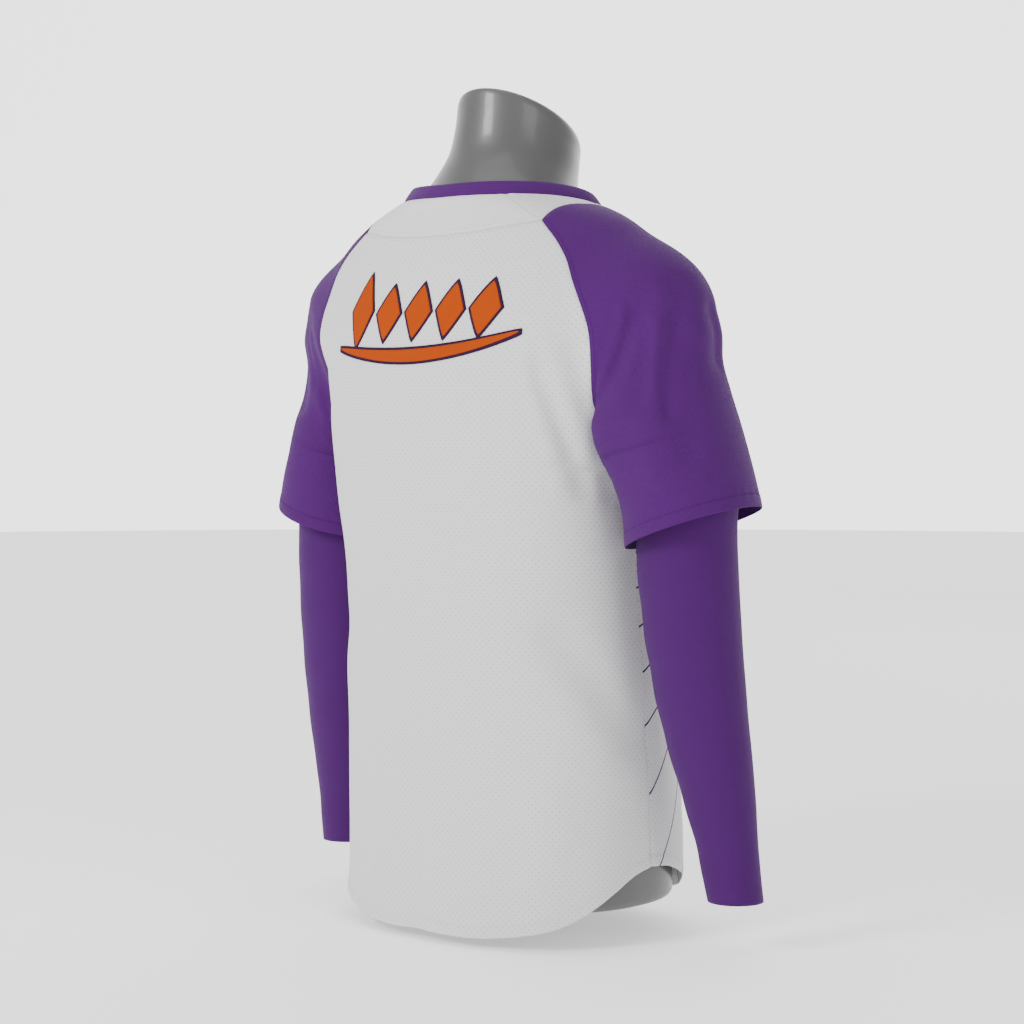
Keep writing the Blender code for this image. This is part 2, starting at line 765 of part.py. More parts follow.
def sewn_ring(height, turn):
    """A ring just inside the short sleeve's wall."""
    middle_x, middle_y, _ = sleeve_middle(height)
    slope = math.tan(math.radians(SLEEVE_HEM_PITCH))
    direction = np.stack([np.cos(turn), np.sin(turn), np.cos(turn) * slope], -1)
    start = np.broadcast_to(np.array([middle_x, middle_y, height]), direction.shape)
    on_skin = cast(start, direction, sleeve_field, reach=0.16)
    normals = normals_on(on_skin, sleeve_field)
    return on_skin - normals * (WALL + SEWN_GAP)


def ring_normals(rings):
    around = np.roll(rings, -1, axis=1) - np.roll(rings, 1, axis=1)
    along = np.gradient(rings, axis=0)
    normal = np.cross(around, along)
    normal = normal / np.linalg.norm(normal, axis=-1, keepdims=True)
    out = rings - rings.mean(axis=1, keepdims=True)
    return normal * np.sign((normal * out).sum(-1, keepdims=True))


def form_rings():
    """Sections of the dress form from its flat underside up to the slanted neck."""
    turn = np.linspace(0, 2 * math.pi, FORM_COLUMNS, endpoint=False)
    forward = (1 - np.cos(turn)) / 2
    rings = [np.stack([FOOT_RADIUS * np.sin(turn), FOOT_RADIUS * np.cos(turn), 0 * turn], -1)]
    rings.append(rings[0] + (0, 0, FORM_BASE_Z))
    for rise in FORM_RISES:
        level = FORM_BASE_Z + rise
        drop = FORM_DROP * smooth_step((level - FORM_DROP_FROM) / (FORM_TOP_Z - FORM_DROP_FROM))
        z = level - drop * forward**FORM_NECK.at("late", 0)
        edge = FORM_EDGE * (1 - math.sqrt(1 - max(0.0, 1 - rise / FORM_EDGE) ** 2))
        sink = smooth_step((0.70 - z) / 0.20)
        shrink = WALL + FORM_SHRINK_TOP + FORM_SHRINK_LOW * sink + edge
        above = z + FORM_LOWER_BY * (1 - sink)
        half_x = TORSO.at("half_x", above) - shrink
        half_y = TORSO.at("half_y", above) - shrink
        power = TORSO.at("power", above)
        across = np.sign(np.sin(turn)) * np.abs(np.sin(turn)) ** (2 / power)
        deep = np.sign(np.cos(turn)) * np.abs(np.cos(turn)) ** (2 / power)
        centre_y = TORSO.at("centre_y", above)
        rings.append(np.stack([half_x * across, centre_y + half_y * deep, z], -1))
    for row in FORM_NECK.along:
        x = FORM_NECK.at("half_x", row) * np.sin(turn)
        y = FORM_NECK.at("half_y", row) * np.cos(turn) + FORM_NECK.at("centre_y", row)
        z = FORM_NECK.at("z", row) - FORM_NECK.at("drop", row) * forward ** FORM_NECK.at("late", row)
        rings.append(np.stack([x, y, z], -1))
    return np.array(rings)


def clear_scene():
    for thing in list(bpy.data.objects):
        bpy.data.objects.remove(thing, do_unlink=True)


def main():
    clear_scene()
    white = make_material("white_mesh", (0.66, 0.66, 0.66), 0.85)
    purple = make_material("purple_mesh", (0.108, 0.030, 0.223), 0.80)
    knit = make_material("purple_knit", (0.090, 0.026, 0.190), 0.85)
    plastic = make_material("white_button", (0.70, 0.70, 0.68), 0.35)
    moulded = make_material("form_grey", (0.14, 0.14, 0.14), 0.30, coat=0.4)

    add_panel("back_panel", back_grid(), body_skin, ("last_row", "first_column", "last_column"), white)
    add_panel("back_yoke", yoke_grid(), body_skin, ALL_EDGES, white)
    front = front_grid()
    front_edges = ("last_row", "first_column", "last_column")
    add_panel("front_left", front, body_skin, front_edges, white)
    add_panel("front_right", mirrored(front), body_skin, front_edges, white)
    add_placket(white)
    add_buttons(plastic)
    add_neckband(purple)

    sleeve_edges = ("first_row", "first_column", "last_column")
    add_panel("sleeve_left", SLEEVE_POINTS, sleeve_skin, sleeve_edges, purple)
    add_panel("sleeve_right", mirrored(SLEEVE_POINTS), sleeve_skin, sleeve_edges, purple)
    rings = undersleeve_grid()
    inner = rings - ring_normals(rings) * WALL
    add_wall("undersleeve_left", rings, inner, knit, ring=True)
    add_wall("undersleeve_right", mirrored(rings), mirrored(inner), knit, ring=True)

    form = form_rings()
    add_lathe("dress_form", form.reshape(-1, 3), len(form), FORM_COLUMNS, moulded)


main()
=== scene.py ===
"""Looks of the baseball jersey: fine cloth shells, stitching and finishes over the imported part.

The skin and its tables are those of the solids, in metres. The wearer faces -Y. An angle
goes round the torso in degrees: 0 at the back, 90 at the wearer's left, 180 at the front.
"""

import math

import bpy
import numpy as np
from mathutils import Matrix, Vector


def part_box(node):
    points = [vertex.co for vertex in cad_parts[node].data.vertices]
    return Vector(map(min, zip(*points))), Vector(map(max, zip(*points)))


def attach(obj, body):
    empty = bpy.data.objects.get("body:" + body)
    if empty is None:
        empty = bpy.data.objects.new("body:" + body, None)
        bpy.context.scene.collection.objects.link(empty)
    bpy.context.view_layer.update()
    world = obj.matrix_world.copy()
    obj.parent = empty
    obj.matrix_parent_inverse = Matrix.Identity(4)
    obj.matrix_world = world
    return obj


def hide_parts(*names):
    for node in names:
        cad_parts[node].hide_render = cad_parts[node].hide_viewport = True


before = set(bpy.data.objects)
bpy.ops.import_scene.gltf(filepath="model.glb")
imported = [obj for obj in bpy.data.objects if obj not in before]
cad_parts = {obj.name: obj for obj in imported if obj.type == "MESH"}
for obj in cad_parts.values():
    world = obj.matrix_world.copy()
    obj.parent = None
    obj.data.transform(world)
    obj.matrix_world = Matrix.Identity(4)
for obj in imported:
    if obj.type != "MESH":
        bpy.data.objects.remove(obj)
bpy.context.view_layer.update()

CLOTH = 0.0010
HEM_WIDTH = 0.011
SLEEVE_HEM_WIDTH = 0.012
YOKE_STITCH = 0.0042
RAGLAN_STITCH = 0.0045
SEAM_WIDTH, SEAM_DEPTH = 0.0016, 0.0007
STITCH_WIDTH, STITCH_DEPTH = 0.0011, 0.00055
PUCKER_PITCH, PUCKER_HEIGHT = 0.0135, 0.00022

# Fine grid sizes
SIDE_ROWS = 74
SOLID_RAGLAN_ROWS = 11
RAGLAN_ROWS = 66
CUFF_ROWS = 46
SLEEVE_COLUMNS = 128
BACK_COLUMNS = 150
YOKE_ROWS = 34
FRONT_COLUMNS = 54
BAND_COLUMNS = 300
PLACKET_ROWS = 170
UNDERSLEEVE_COLUMNS = 84
UNDERSLEEVE_ROWS = 150
FORM_COLUMNS = 144

EDGE_FADE = 3
STRAP_FAN = 1.8

BAND_RISE = 0.0135
BAND_LEAN = 0.0090
PLACKET_HALF_WIDTH = 0.016
BUTTON_COUNT = 7
BUTTON_RADIUS = 0.0055
BUTTON_SIDES = 40
THREAD_REACH = 0.0019
THREAD_LIFT = 0.0001

MELT = 0.030
MELT_RISE = 0.070
CREASE_MARGIN = 1.2
CREASE_JUMP = 0.014
TORSO_REACH = 0.186
CAST_STEPS = 68
NORMAL_STEP = 0.0008

FORM_SHRINK_TOP = 0.0008
FORM_SHRINK_LOW = 0.0080
FORM_LOWER_BY = 0.0014
FORM_BASE_Z = 0.034
FORM_EDGE = 0.008
FOOT_RADIUS = 0.060
FORM_DROP = 0.044
FORM_DROP_FROM = 0.580
FORM_TOP_Z = 0.712

FLOOR_RADIUS = 9.0
FLOOR_SIDES = 96
LIGHT_AIM = np.array([0.0, 0.0, 0.42])
CAMERA_AIM = np.array([0.0, 0.0, 0.41])
CAMERA_AT = np.array([-1.6394, 1.8207, 0.50])
CAMERA_LENS = 86.13


class Table:
    """Rows of sizes with named columns, read smoothly along the first column."""

    def __init__(self, columns, *rows):
        values = np.array(rows, float)
        self.along = values[:, 0]
        self.column = {name: values[:, i] for i, name in enumerate(columns)}

    def at(self, name, where):
        knots = self.along
        values = self.column[name]
        slopes = np.gradient(values, knots)
        where = np.clip(np.asarray(where, float), knots[0], knots[-1])
        i = np.clip(np.searchsorted(knots, where, side="right") - 1, 0, len(knots) - 2)
        step = knots[i + 1] - knots[i]
        t = (where - knots[i]) / step
        start = (1 + 2 * t) * (1 - t) ** 2 * values[i] + t * (1 - t) ** 2 * step * slopes[i]
        end = t**2 * (3 - 2 * t) * values[i + 1] + t**2 * (t - 1) * step * slopes[i + 1]
        return start + end


TORSO = Table(
    ("z", "half_x", "half_y", "centre_y", "power"),
    (-0.030, 0.178, 0.136, -0.003, 2.35),
    (0.060, 0.177, 0.135, -0.003, 2.35),
    (0.150, 0.176, 0.134, -0.001, 2.35),
    (0.250, 0.172, 0.133, 0.003, 2.40),
    (0.330, 0.166, 0.134, 0.006, 2.45),
    (0.380, 0.167, 0.137, 0.007, 2.50),
    (0.420, 0.169, 0.140, 0.008, 2.60),
    (0.460, 0.173, 0.141, 0.010, 2.60),
    (0.500, 0.178, 0.139, 0.013, 2.60),
    (0.550, 0.186, 0.132, 0.016, 2.50),
    (0.590, 0.195, 0.124, 0.019, 2.40),
    (0.620, 0.200, 0.117, 0.022, 2.20),
    (0.650, 0.200, 0.108, 0.024, 2.00),
    (0.670, 0.190, 0.100, 0.025, 1.90),
    (0.690, 0.168, 0.092, 0.026, 1.80),
    (0.703, 0.140, 0.087, 0.026, 1.90),
    (0.717, 0.096, 0.083, 0.026, 2.00),
    (0.740, 0.050, 0.060, 0.020, 2.00),
)

SLEEVE = Table(
    ("z", "inner_x", "outer_x", "centre_y", "half_y"),
    (0.360, 0.1740, 0.3110, 0.0070, 0.0720),
    (0.400, 0.1740, 0.3010, 0.0075, 0.0715),
    (0.430, 0.1735, 0.2925, 0.0075, 0.0710),
    (0.458, 0.1725, 0.2840, 0.0075, 0.0700),
    (0.500, 0.1600, 0.2705, 0.0080, 0.0690),
    (0.530, 0.1450, 0.2600, 0.0090, 0.0680),
    (0.557, 0.1350, 0.2535, 0.0130, 0.0680),
    (0.585, 0.1250, 0.2560, 0.0170, 0.0680),
    (0.605, 0.1220, 0.2520, 0.0180, 0.0660),
)
SLEEVE_TOP = 0.600
SLEEVE_CAP = 0.062
SLEEVE_HEM_Z = 0.402
SLEEVE_HEM_PITCH = 19.0
SLEEVE_HEM_TILT = 0.07

UNDERSLEEVE = Table(
    ("z", "x", "y", "radius"),
    (0.0490, 0.2615, -0.0244, 0.0265),
    (0.0700, 0.2595, -0.0215, 0.0275),
    (0.1100, 0.2555, -0.0170, 0.0300),
    (0.1500, 0.2510, -0.0115, 0.0345),
    (0.2240, 0.2420, -0.0007, 0.0410),
    (0.3270, 0.2335, 0.0091, 0.0460),
    (0.4000, 0.2300, 0.0110, 0.0475),
    (0.4300, 0.2305, 0.0090, 0.0480),
)
CUFF_PITCH = 5.0
UNDERSLEEVE_TOP_Z = 0.442
UNDERSLEEVE_FREE_Z = 0.405
SEWN_GAP = 0.0016
CUFF_STITCH = 0.020

HEM_BACK = Table(
    ("angle", "z"),
    (0.0, 0.010),
    (20.0, 0.009),
    (40.0, 0.013),
    (60.0, 0.027),
    (75.0, 0.054),
    (84.0, 0.069),
    (90.0, 0.0745),
)
HEM_FRONT = Table(
    ("angle", "z"),
    (90.0, 0.0745),
    (98.0, 0.072),
    (110.0, 0.060),
    (130.0, 0.036),
    (150.0, 0.024),
    (180.0, 0.020),
)
NECKLINE = Table(
    ("angle", "z"),
    (0.0, 0.7160),
    (50.0, 0.7175),
    (85.0, 0.7165),
    (105.0, 0.7130),
    (125.0, 0.7050),
    (145.0, 0.6905),
    (160.0, 0.6785),
    (172.0, 0.6725),
    (180.0, 0.6715),
)
YOKE_SEAM = Table(
    ("share", "angle", "z"),
    (0.0, 0.0, 0.6780),
    (0.5, 31.0, 0.6810),
    (1.0, 62.0, 0.6900),
)
YOKE_CORNER_ANGLE = 50.0
RAGLAN_BACK = Table(
    ("share", "angle", "z"),
    (0.00, 62.0, 0.690),
    (0.14, 65.0, 0.661),
    (0.28, 65.7, 0.630),
    (0.46, 67.2, 0.588),
    (0.62, 69.0, 0.550),
    (0.80, 72.0, 0.508),
    (1.00, 84.0, 0.460),
)
RAGLAN_FRONT = Table(
    ("share", "angle", "z"),
    (0.00, 121.0, 0.685),
    (0.14, 118.0, 0.655),
    (0.28, 116.5, 0.625),
    (0.46, 114.5, 0.583),
    (0.62, 112.0, 0.546),
    (0.80, 108.0, 0.506),
    (1.00, 96.0, 0.460),
)

# The largest folds, as in the solids: from x, y, z, to x, y, z, half width, depth
FOLDS = (
    (0.212, 0.081, 0.602, 0.182, 0.079, 0.520, 0.013, 0.0040),
    (0.226, 0.069, 0.612, 0.229, 0.071, 0.520, 0.013, 0.0035),
    (0.243, 0.040, 0.621, 0.265, 0.052, 0.474, 0.016, 0.0040),
    (0.254, 0.005, 0.600, 0.251, -0.005, 0.560, 0.013, 0.0020),
    (0.226, -0.045, 0.600, 0.222, -0.058, 0.500, 0.014, 0.0030),
    (0.167, 0.099, 0.566, 0.167, 0.048, 0.436, 0.014, 0.0030),
    (0.160, -0.080, 0.566, 0.166, -0.040, 0.440, 0.014, 0.0030),
    (0.141, 0.090, 0.296, 0.173, 0.024, 0.198, 0.022, 0.0040),
    (0.120, -0.120, 0.420, 0.165, -0.060, 0.300, 0.022, 0.0040),
)

# Sharper creases of the cloth itself, on one side only where x has a sign of its own.
# A depth below zero is a ridge.
CREASES = (
    (-0.2195, 0.0726, 0.597, -0.1990, 0.0785, 0.545, 0.0066, 0.0046),
    (-0.2080, 0.0795, 0.603, -0.1815, 0.0745, 0.528, 0.0058, -0.0034),
    (-0.2431, 0.0480, 0.590, -0.2435, 0.0570, 0.505, 0.0080, 0.0041),
    (-0.2340, 0.0640, 0.592, -0.2330, 0.0680, 0.500, 0.0066, -0.0026),
    (-0.2500, -0.0010, 0.605, -0.2500, -0.0130, 0.556, 0.0080, 0.0022),
    (-0.2280, 0.0720, 0.500, -0.2420, 0.0730, 0.450, 0.0090, -0.0020),
    (-0.1390, 0.1180, 0.548, -0.1610, 0.0780, 0.440, 0.0110, 0.0040),
    (-0.1270, 0.1250, 0.560, -0.1470, 0.1000, 0.440, 0.0100, -0.0012),
    (0.2120, 0.0800, 0.590, 0.1920, 0.0760, 0.500, 0.0060, -0.0014),
    (0.2200, 0.0760, 0.595, 0.2020, 0.0780, 0.540, 0.0070, 0.0024),
    (0.1400, 0.1180, 0.540, 0.1610, 0.0780, 0.440, 0.0110, 0.0030),
    (0.2250, -0.0500, 0.600, 0.2000, -0.0580, 0.500, 0.0070, -0.0014),
    (-0.2250, -0.0500, 0.600, -0.2000, -0.0580, 0.500, 0.0070, -0.0014),
    (0.1400, -0.1000, 0.560, 0.1600, -0.0600, 0.450, 0.0100, 0.0024),
    (-0.1400, -0.1000, 0.560, -0.1600, -0.0600, 0.450, 0.0100, 0.0024),
)

# Slack of the wearer's right sleeve that laps over beside the body
LAP_PLACE = (-0.191, 0.061, 0.484)
LAP_PUSH = (0.0160, 0.0144, 0.0)
LAP_WIDTH = 0.030
LAP_HEIGHT = 0.046
LAP_CLEAR = 0.016

# Middle of each sleeve section from the sleeve's top edge to the underarm
SLEEVE_FAN = Table(
    ("share", "x", "y", "z", "pitch"),
    (0.00, 0.111, 0.022, 0.615, 73.0),
    (0.25, 0.135, 0.020, 0.595, 52.0),
    (0.50, 0.170, 0.017, 0.575, 28.0),
    (0.75, 0.200, 0.012, 0.525, 10.0),
    (1.00, 0.226, 0.008, 0.476, 18.0),
)

# Sections of the form's neck: z at its back, how much lower it is at the front, and how
# late round the neck it drops
FORM_NECK = Table(
    ("row", "z", "half_x", "half_y", "centre_y", "drop", "late"),
    (0, 0.7190, 0.0855, 0.0765, 0.0220, 0.0440, 2.2),
    (1, 0.7310, 0.0765, 0.0715, 0.0150, 0.0410, 2.0),
    (2, 0.7480, 0.0690, 0.0685, 0.0060, 0.0380, 1.6),
    (3, 0.7700, 0.0630, 0.0655, -0.0030, 0.0400, 1.3),
    (4, 0.7990, 0.0605, 0.0640, -0.0085, 0.0470, 1.0),
    (5, 0.8212, 0.0595, 0.0635, -0.0110, 0.0584, 1.0),
    (6, 0.8266, 0.0560, 0.0600, -0.0110, 0.0552, 1.0),
    (7, 0.8259, 0.0480, 0.0520, -0.0110, 0.0478, 1.0),
)


def smooth_step(value):
    value = np.clip(value, 0.0, 1.0)
    return value * value * (3 - 2 * value)


def unit(vectors):
    return vectors / np.linalg.norm(vectors, axis=-1, keepdims=True)


def full_turn(count):
    return np.linspace(0, 2 * math.pi, count, endpoint=False)


def heading(turn):
    """The level direction at each angle round the torso, in radians."""
    return np.stack([np.sin(turn), np.cos(turn), 0 * turn], -1)


def torso_field(p):
    """Below zero inside the torso, zero on its skin."""
    z = p[..., 2]
    half_x = TORSO.at("half_x", z)
    half_y = TORSO.at("half_y", z)
    power = TORSO.at("power", z)
    across = np.abs(p[..., 0]) / half_x
    deep = np.abs(p[..., 1] - TORSO.at("centre_y", z)) / half_y
    return ((across**power + deep**power) ** (1 / power) - 1) * np.minimum(half_x, half_y)


def sleeve_middle(z):
    inner = SLEEVE.at("inner_x", z)
    outer = SLEEVE.at("outer_x", z)
    return (inner + outer) / 2, SLEEVE.at("centre_y", z), (outer - inner) / 2


def sleeve_field(p):
    """Below zero inside either sleeve tube, which has a round cap at the shoulder."""
    z = p[..., 2]
    middle_x, middle_y, half_x = sleeve_middle(z)
    half_y = SLEEVE.at("half_y", z)
    above = np.maximum(z - SLEEVE_TOP, 0.0) / SLEEVE_CAP
    across = (np.abs(p[..., 0]) - middle_x) / half_x
    deep = (p[..., 1] - middle_y) / half_y
    return (np.sqrt(across**2 + deep**2 + above**2) - 1) * np.minimum(half_x, half_y)


def underarm_height():
    """The height where the sleeve's inner side meets the side of the torso."""
    low, high = SLEEVE_HEM_Z, 0.52
    for _ in range(40):
        middle = (low + high) / 2
        if SLEEVE.at("inner_x", middle) > TORSO.at("half_x", middle):
            low = middle
        else:
            high = middle
    return (low + high) / 2


UNDERARM_Z = underarm_height()


def melted(p):
    """Torso and sleeves as one, melting together more and more above the underarm."""
    torso = torso_field(p)
    sleeve = sleeve_field(p)
    reach = MELT * smooth_step((p[..., 2] - UNDERARM_Z) / MELT_RISE) + 1e-6
    near = np.maximum(reach - np.abs(torso - sleeve), 0.0) / reach
    return np.minimum(torso, sleeve) - near**2 * reach / 4


def pressed(p, folds):
    """How far a table of grooves presses the skin in at each point."""
    total = np.zeros(p.shape[:-1])
    for *ends, half_width, depth in folds:
        start, end = np.array(ends[:3]), np.array(ends[3:])
        way = end - start
        share = np.clip(((p - start) @ way) / (way @ way), 0, 1)
        away = p - start - share[..., None] * way
        total = total + depth * np.exp(-(away**2).sum(-1) / half_width**2)
    return total


def drape(p):
    """Soft uneven fall of the cloth: folds, creases and slow waves towards the hem."""
    both_sides = np.concatenate([np.abs(p[..., :1]), p[..., 1:]], -1)
    z = p[..., 2]
    low = smooth_step((0.30 - z) / 0.28)
    turn = np.arctan2(p[..., 0], p[..., 1])
    waves = 0.0010 * low * np.sin(9.0 * turn + 0.8) + 0.0006 * low * np.sin(17.0 * turn + 14.0 * z)
    slow = 0.0007 * np.sin(23.0 * z + 5.0 * turn) + 0.0005 * np.sin(41.0 * z - 7.0 * turn)
    upper = smooth_step((0.66 - z) / 0.10)
    return pressed(both_sides, FOLDS) + pressed(p, CREASES) + waves + slow * upper


def body_skin(p):
    return np.where(p[..., 2] > UNDERARM_Z, melted(p), torso_field(p)) + drape(p)


def torso_skin(p):
    return torso_field(p) + drape(p)


def sleeve_skin(p):
    return np.where(p[..., 2] > UNDERARM_Z, melted(p), sleeve_field(p)) + drape(p)


def cast(start, direction, skin, reach=0.34):
    """Where each ray from inside first leaves the skin."""
    direction = unit(direction)
    far = np.linspace(0.004, reach, CAST_STEPS)
    along = start[..., None, :] + direction[..., None, :] * far[:, None]
    outside = skin(along) > 0
    first = np.argmax(outside, axis=-1)
    high = far[first]
    low = far[np.maximum(first - 1, 0)]
    for _ in range(16):
        middle = (low + high) / 2
        out = skin(start + direction * middle[..., None]) > 0
        high = np.where(out, middle, high)
        low = np.where(out, low, middle)
    return start + direction * high[..., None]


def normals_on(points, skin):
    """Outward unit normals of the skin at points on it."""
    slope = np.zeros_like(points)
    for axis in range(3):
        shift = np.zeros(3)
        shift[axis] = NORMAL_STEP
        slope[..., axis] = skin(points + shift) - skin(points - shift)
    return unit(slope)


def torso_axis(heights):
    heights = np.asarray(heights, float)
    return np.stack([0 * heights, TORSO.at("centre_y", heights), heights], -1)


def place(angles, heights):
    """The point of the body skin at each angle and height."""
    turn = np.radians(np.asarray(angles, float))
    heights = np.asarray(heights, float) + 0 * turn
    direction = heading(turn)
    found = cast(torso_axis(heights), direction, body_skin)
    astray = np.abs(found[..., 0]) > TORSO_REACH
    if astray.any():
        # Just over the underarm a ray can run on through the sleeve, so there it stops at the torso.
        found[astray] = cast(torso_axis(heights)[astray], direction[astray], torso_skin)
    return found


def angle_of(points):
    """The angle of each point round the torso, in degrees."""
    deep = points[..., 1] - TORSO.at("centre_y", points[..., 2])
    return np.degrees(np.arctan2(points[..., 0], deep))


def pairs(angles, heights):
    return np.stack([np.asarray(angles, float), np.asarray(heights, float)], -1)


def coons(bottom, top, left, right, across, up):
    """Angles and heights inside four edges, whose bends die out away from them."""
    across = across[None, :, None]
    up = up[:, None, None]
    ruled = (1 - across) * left[:, None] + across * right[:, None]
    bottom_bend = bottom - (1 - across) * bottom[0] - across * bottom[-1]
    top_bend = top - (1 - across) * top[0] - across * top[-1]
    return ruled + (1 - up) ** EDGE_FADE * bottom_bend + up**EDGE_FADE * top_bend


def close_at_ends(count, near, both=True):
    """Shares from 0 to 1 with steps that start small, so that an edge has fine detail."""
    start = near * (np.linspace(0, 1, 9) ** 1.4)
    if not both:
        return np.concatenate([start[:-1], np.linspace(near, 1, count - 7)])
    return np.concatenate([start[:-1], np.linspace(near, 1 - near, count - 15), 1 - start[::-1][1:]])


def crease_angle(heights, side):
    """Where a ray stops leaving by the torso and runs on into the sleeve tube."""
    start = torso_axis(heights)
    near = np.full(len(heights), 90.0)
    far = near - side * 60.0
    for _ in range(24):
        middle = (near + far) / 2
        way = heading(np.radians(middle))
        further = np.linalg.norm(cast(start, way, melted) - cast(start, way, torso_field), axis=-1)
        inside = further > CREASE_JUMP
        near = np.where(inside, middle, near)
        far = np.where(inside, far, middle)
    return (near + far) / 2


def raglan(table, side):
    """Angles and heights down a raglan seam, smoothly through the few rows of the solids."""
    share = np.linspace(0, 1, SOLID_RAGLAN_ROWS + 1)
    height = table.at("z", share)
    height[-1] = UNDERARM_Z
    angle = table.at("angle", share)
    crease = crease_angle(height, side) - side * CREASE_MARGIN
    angle = np.minimum(angle, crease) if side > 0 else np.maximum(angle, crease)
    angle[-1] = 90.0
    seam = Table(("share", "angle", "z"), *zip(share, angle, height))
    fine = np.linspace(0, 1, RAGLAN_ROWS + 1)
    angle, height = seam.at("angle", fine), seam.at("z", fine)
    crease = crease_angle(height[:-1], side) - side * CREASE_MARGIN
    angle[:-1] = np.minimum(angle[:-1], crease) if side > 0 else np.maximum(angle[:-1], crease)
    return pairs(angle, height)


BACK_SEAM = raglan(RAGLAN_BACK, 1)
FRONT_SEAM = raglan(RAGLAN_FRONT, -1)


def turned(outward, angle):
    return outward * math.cos(angle) + np.array([0.0, math.sin(angle), 0.0])


def seam_turns(seam, middles, outward, side):
    """Direction from each row's middle to the seam, and its turn from the sleeve's outward way."""
    to_seam = unit(seam - middles[: len(seam)])
    along = (to_seam * outward[: len(seam)]).sum(-1)
    turn = np.full(len(middles), math.pi)
    turn[: len(seam) - 1] = np.mod(np.arctan2(side * to_seam[:, 1], along), 2 * math.pi)[:-1]
    for _ in range(20):
        neighbours = turn[: len(seam) - 2] + turn[2 : len(seam)]
        turn[1 : len(seam) - 1] = (neighbours + 2 * turn[1 : len(seam) - 1]) / 4
    return to_seam, side * turn


def sleeve_grid(side):
    """A sleeve: rows from its top edge to the hem, columns from back to front."""
    share = np.linspace(0, 1, RAGLAN_ROWS + 1)
    upper = np.stack([SLEEVE_FAN.at(name, share) for name in "xyz"], -1)
    upper_pitch = SLEEVE_FAN.at("pitch", share)
    below = 1 - close_at_ends(CUFF_ROWS, 0.22, both=False)[::-1][1:]
    middle_z = upper[-1, 2] + (SLEEVE_HEM_Z - upper[-1, 2]) * below
    middle_x, middle_y, _ = sleeve_middle(middle_z)
    lower = np.stack([middle_x, middle_y, middle_z], -1)
    lower_pitch = upper_pitch[-1] + (SLEEVE_HEM_PITCH - upper_pitch[-1]) * below
    middles = np.concatenate([upper, lower]) * (side, 1.0, 1.0)
    pitch = np.radians(np.concatenate([upper_pitch, lower_pitch]))
    outward = np.stack([side * np.cos(pitch), np.zeros_like(pitch), np.sin(pitch)], -1)
    back = place(side * BACK_SEAM[:, 0], BACK_SEAM[:, 1])
    front = place(side * FRONT_SEAM[:, 0], FRONT_SEAM[:, 1])

    to_back, turn_back = seam_turns(back, middles, outward, 1)
    to_front, turn_front = seam_turns(front, middles, outward, -1)
    across = close_at_ends(SLEEVE_COLUMNS, 0.03)
    rows = []
    for i, middle in enumerate(middles):
        lift_back = lift_front = np.zeros(3)
        if i < RAGLAN_ROWS:
            lift_back = to_back[i] - turned(outward[i], turn_back[i])
            lift_front = to_front[i] - turned(outward[i], turn_front[i])
        tilt = SLEEVE_HEM_TILT * (below[i - RAGLAN_ROWS - 1] if i > RAGLAN_ROWS else 0.0)
        turn = turn_back[i] + (turn_front[i] - turn_back[i]) * across
        way = np.array([turned(outward[i], angle) for angle in turn])
        way[:, 2] -= way[:, 1] * tilt
        way = way + np.outer(1 - across, lift_back) + np.outer(across, lift_front)
        row = cast(np.broadcast_to(middle, way.shape), way, sleeve_skin, reach=0.16)
        if i <= RAGLAN_ROWS:
            row[0] = back[i]
            row[-1] = front[i]
        rows.append(row)
    return np.array(rows)


def side_heights(hem_z):
    share = close_at_ends(SIDE_ROWS, 0.045, both=False)
    return hem_z + (UNDERARM_Z - hem_z) * share


def back_grid():
    side = pairs(np.full(SIDE_ROWS + 1, 90.0), side_heights(HEM_BACK.at("z", 90.0)))
    right = np.concatenate([side[:-1], BACK_SEAM[::-1]])
    left = right * (-1.0, 1.0)
    share = close_at_ends(BACK_COLUMNS, 0.02)
    across = 2 * share - 1
    hem_angle = 90.0 * across
    bottom = pairs(hem_angle, HEM_BACK.at("z", np.abs(hem_angle)))
    top_angle = np.sign(across) * YOKE_SEAM.at("angle", np.abs(across))
    top = pairs(top_angle, YOKE_SEAM.at("z", np.abs(across)))
    height = (right[:, 1] - right[0, 1]) / (right[-1, 1] - right[0, 1])
    flat = coons(bottom, top, left, right, share, height)
    return place(flat[..., 0], flat[..., 1])


def yoke_grid():
    share = close_at_ends(BACK_COLUMNS, 0.02)
    across = 2 * share - 1
    seam_angle = np.sign(across) * YOKE_SEAM.at("angle", np.abs(across))
    bottom = pairs(seam_angle, YOKE_SEAM.at("z", np.abs(across)))
    neck_angle = YOKE_CORNER_ANGLE * across
    top = pairs(neck_angle, NECKLINE.at("z", np.abs(neck_angle)))
    up = close_at_ends(YOKE_ROWS, 0.15)
    left = bottom[0] + (top[0] - bottom[0]) * up[:, None]
    right = bottom[-1] + (top[-1] - bottom[-1]) * up[:, None]
    flat = coons(bottom, top, left, right, share, up)
    return place(flat[..., 0], flat[..., 1])


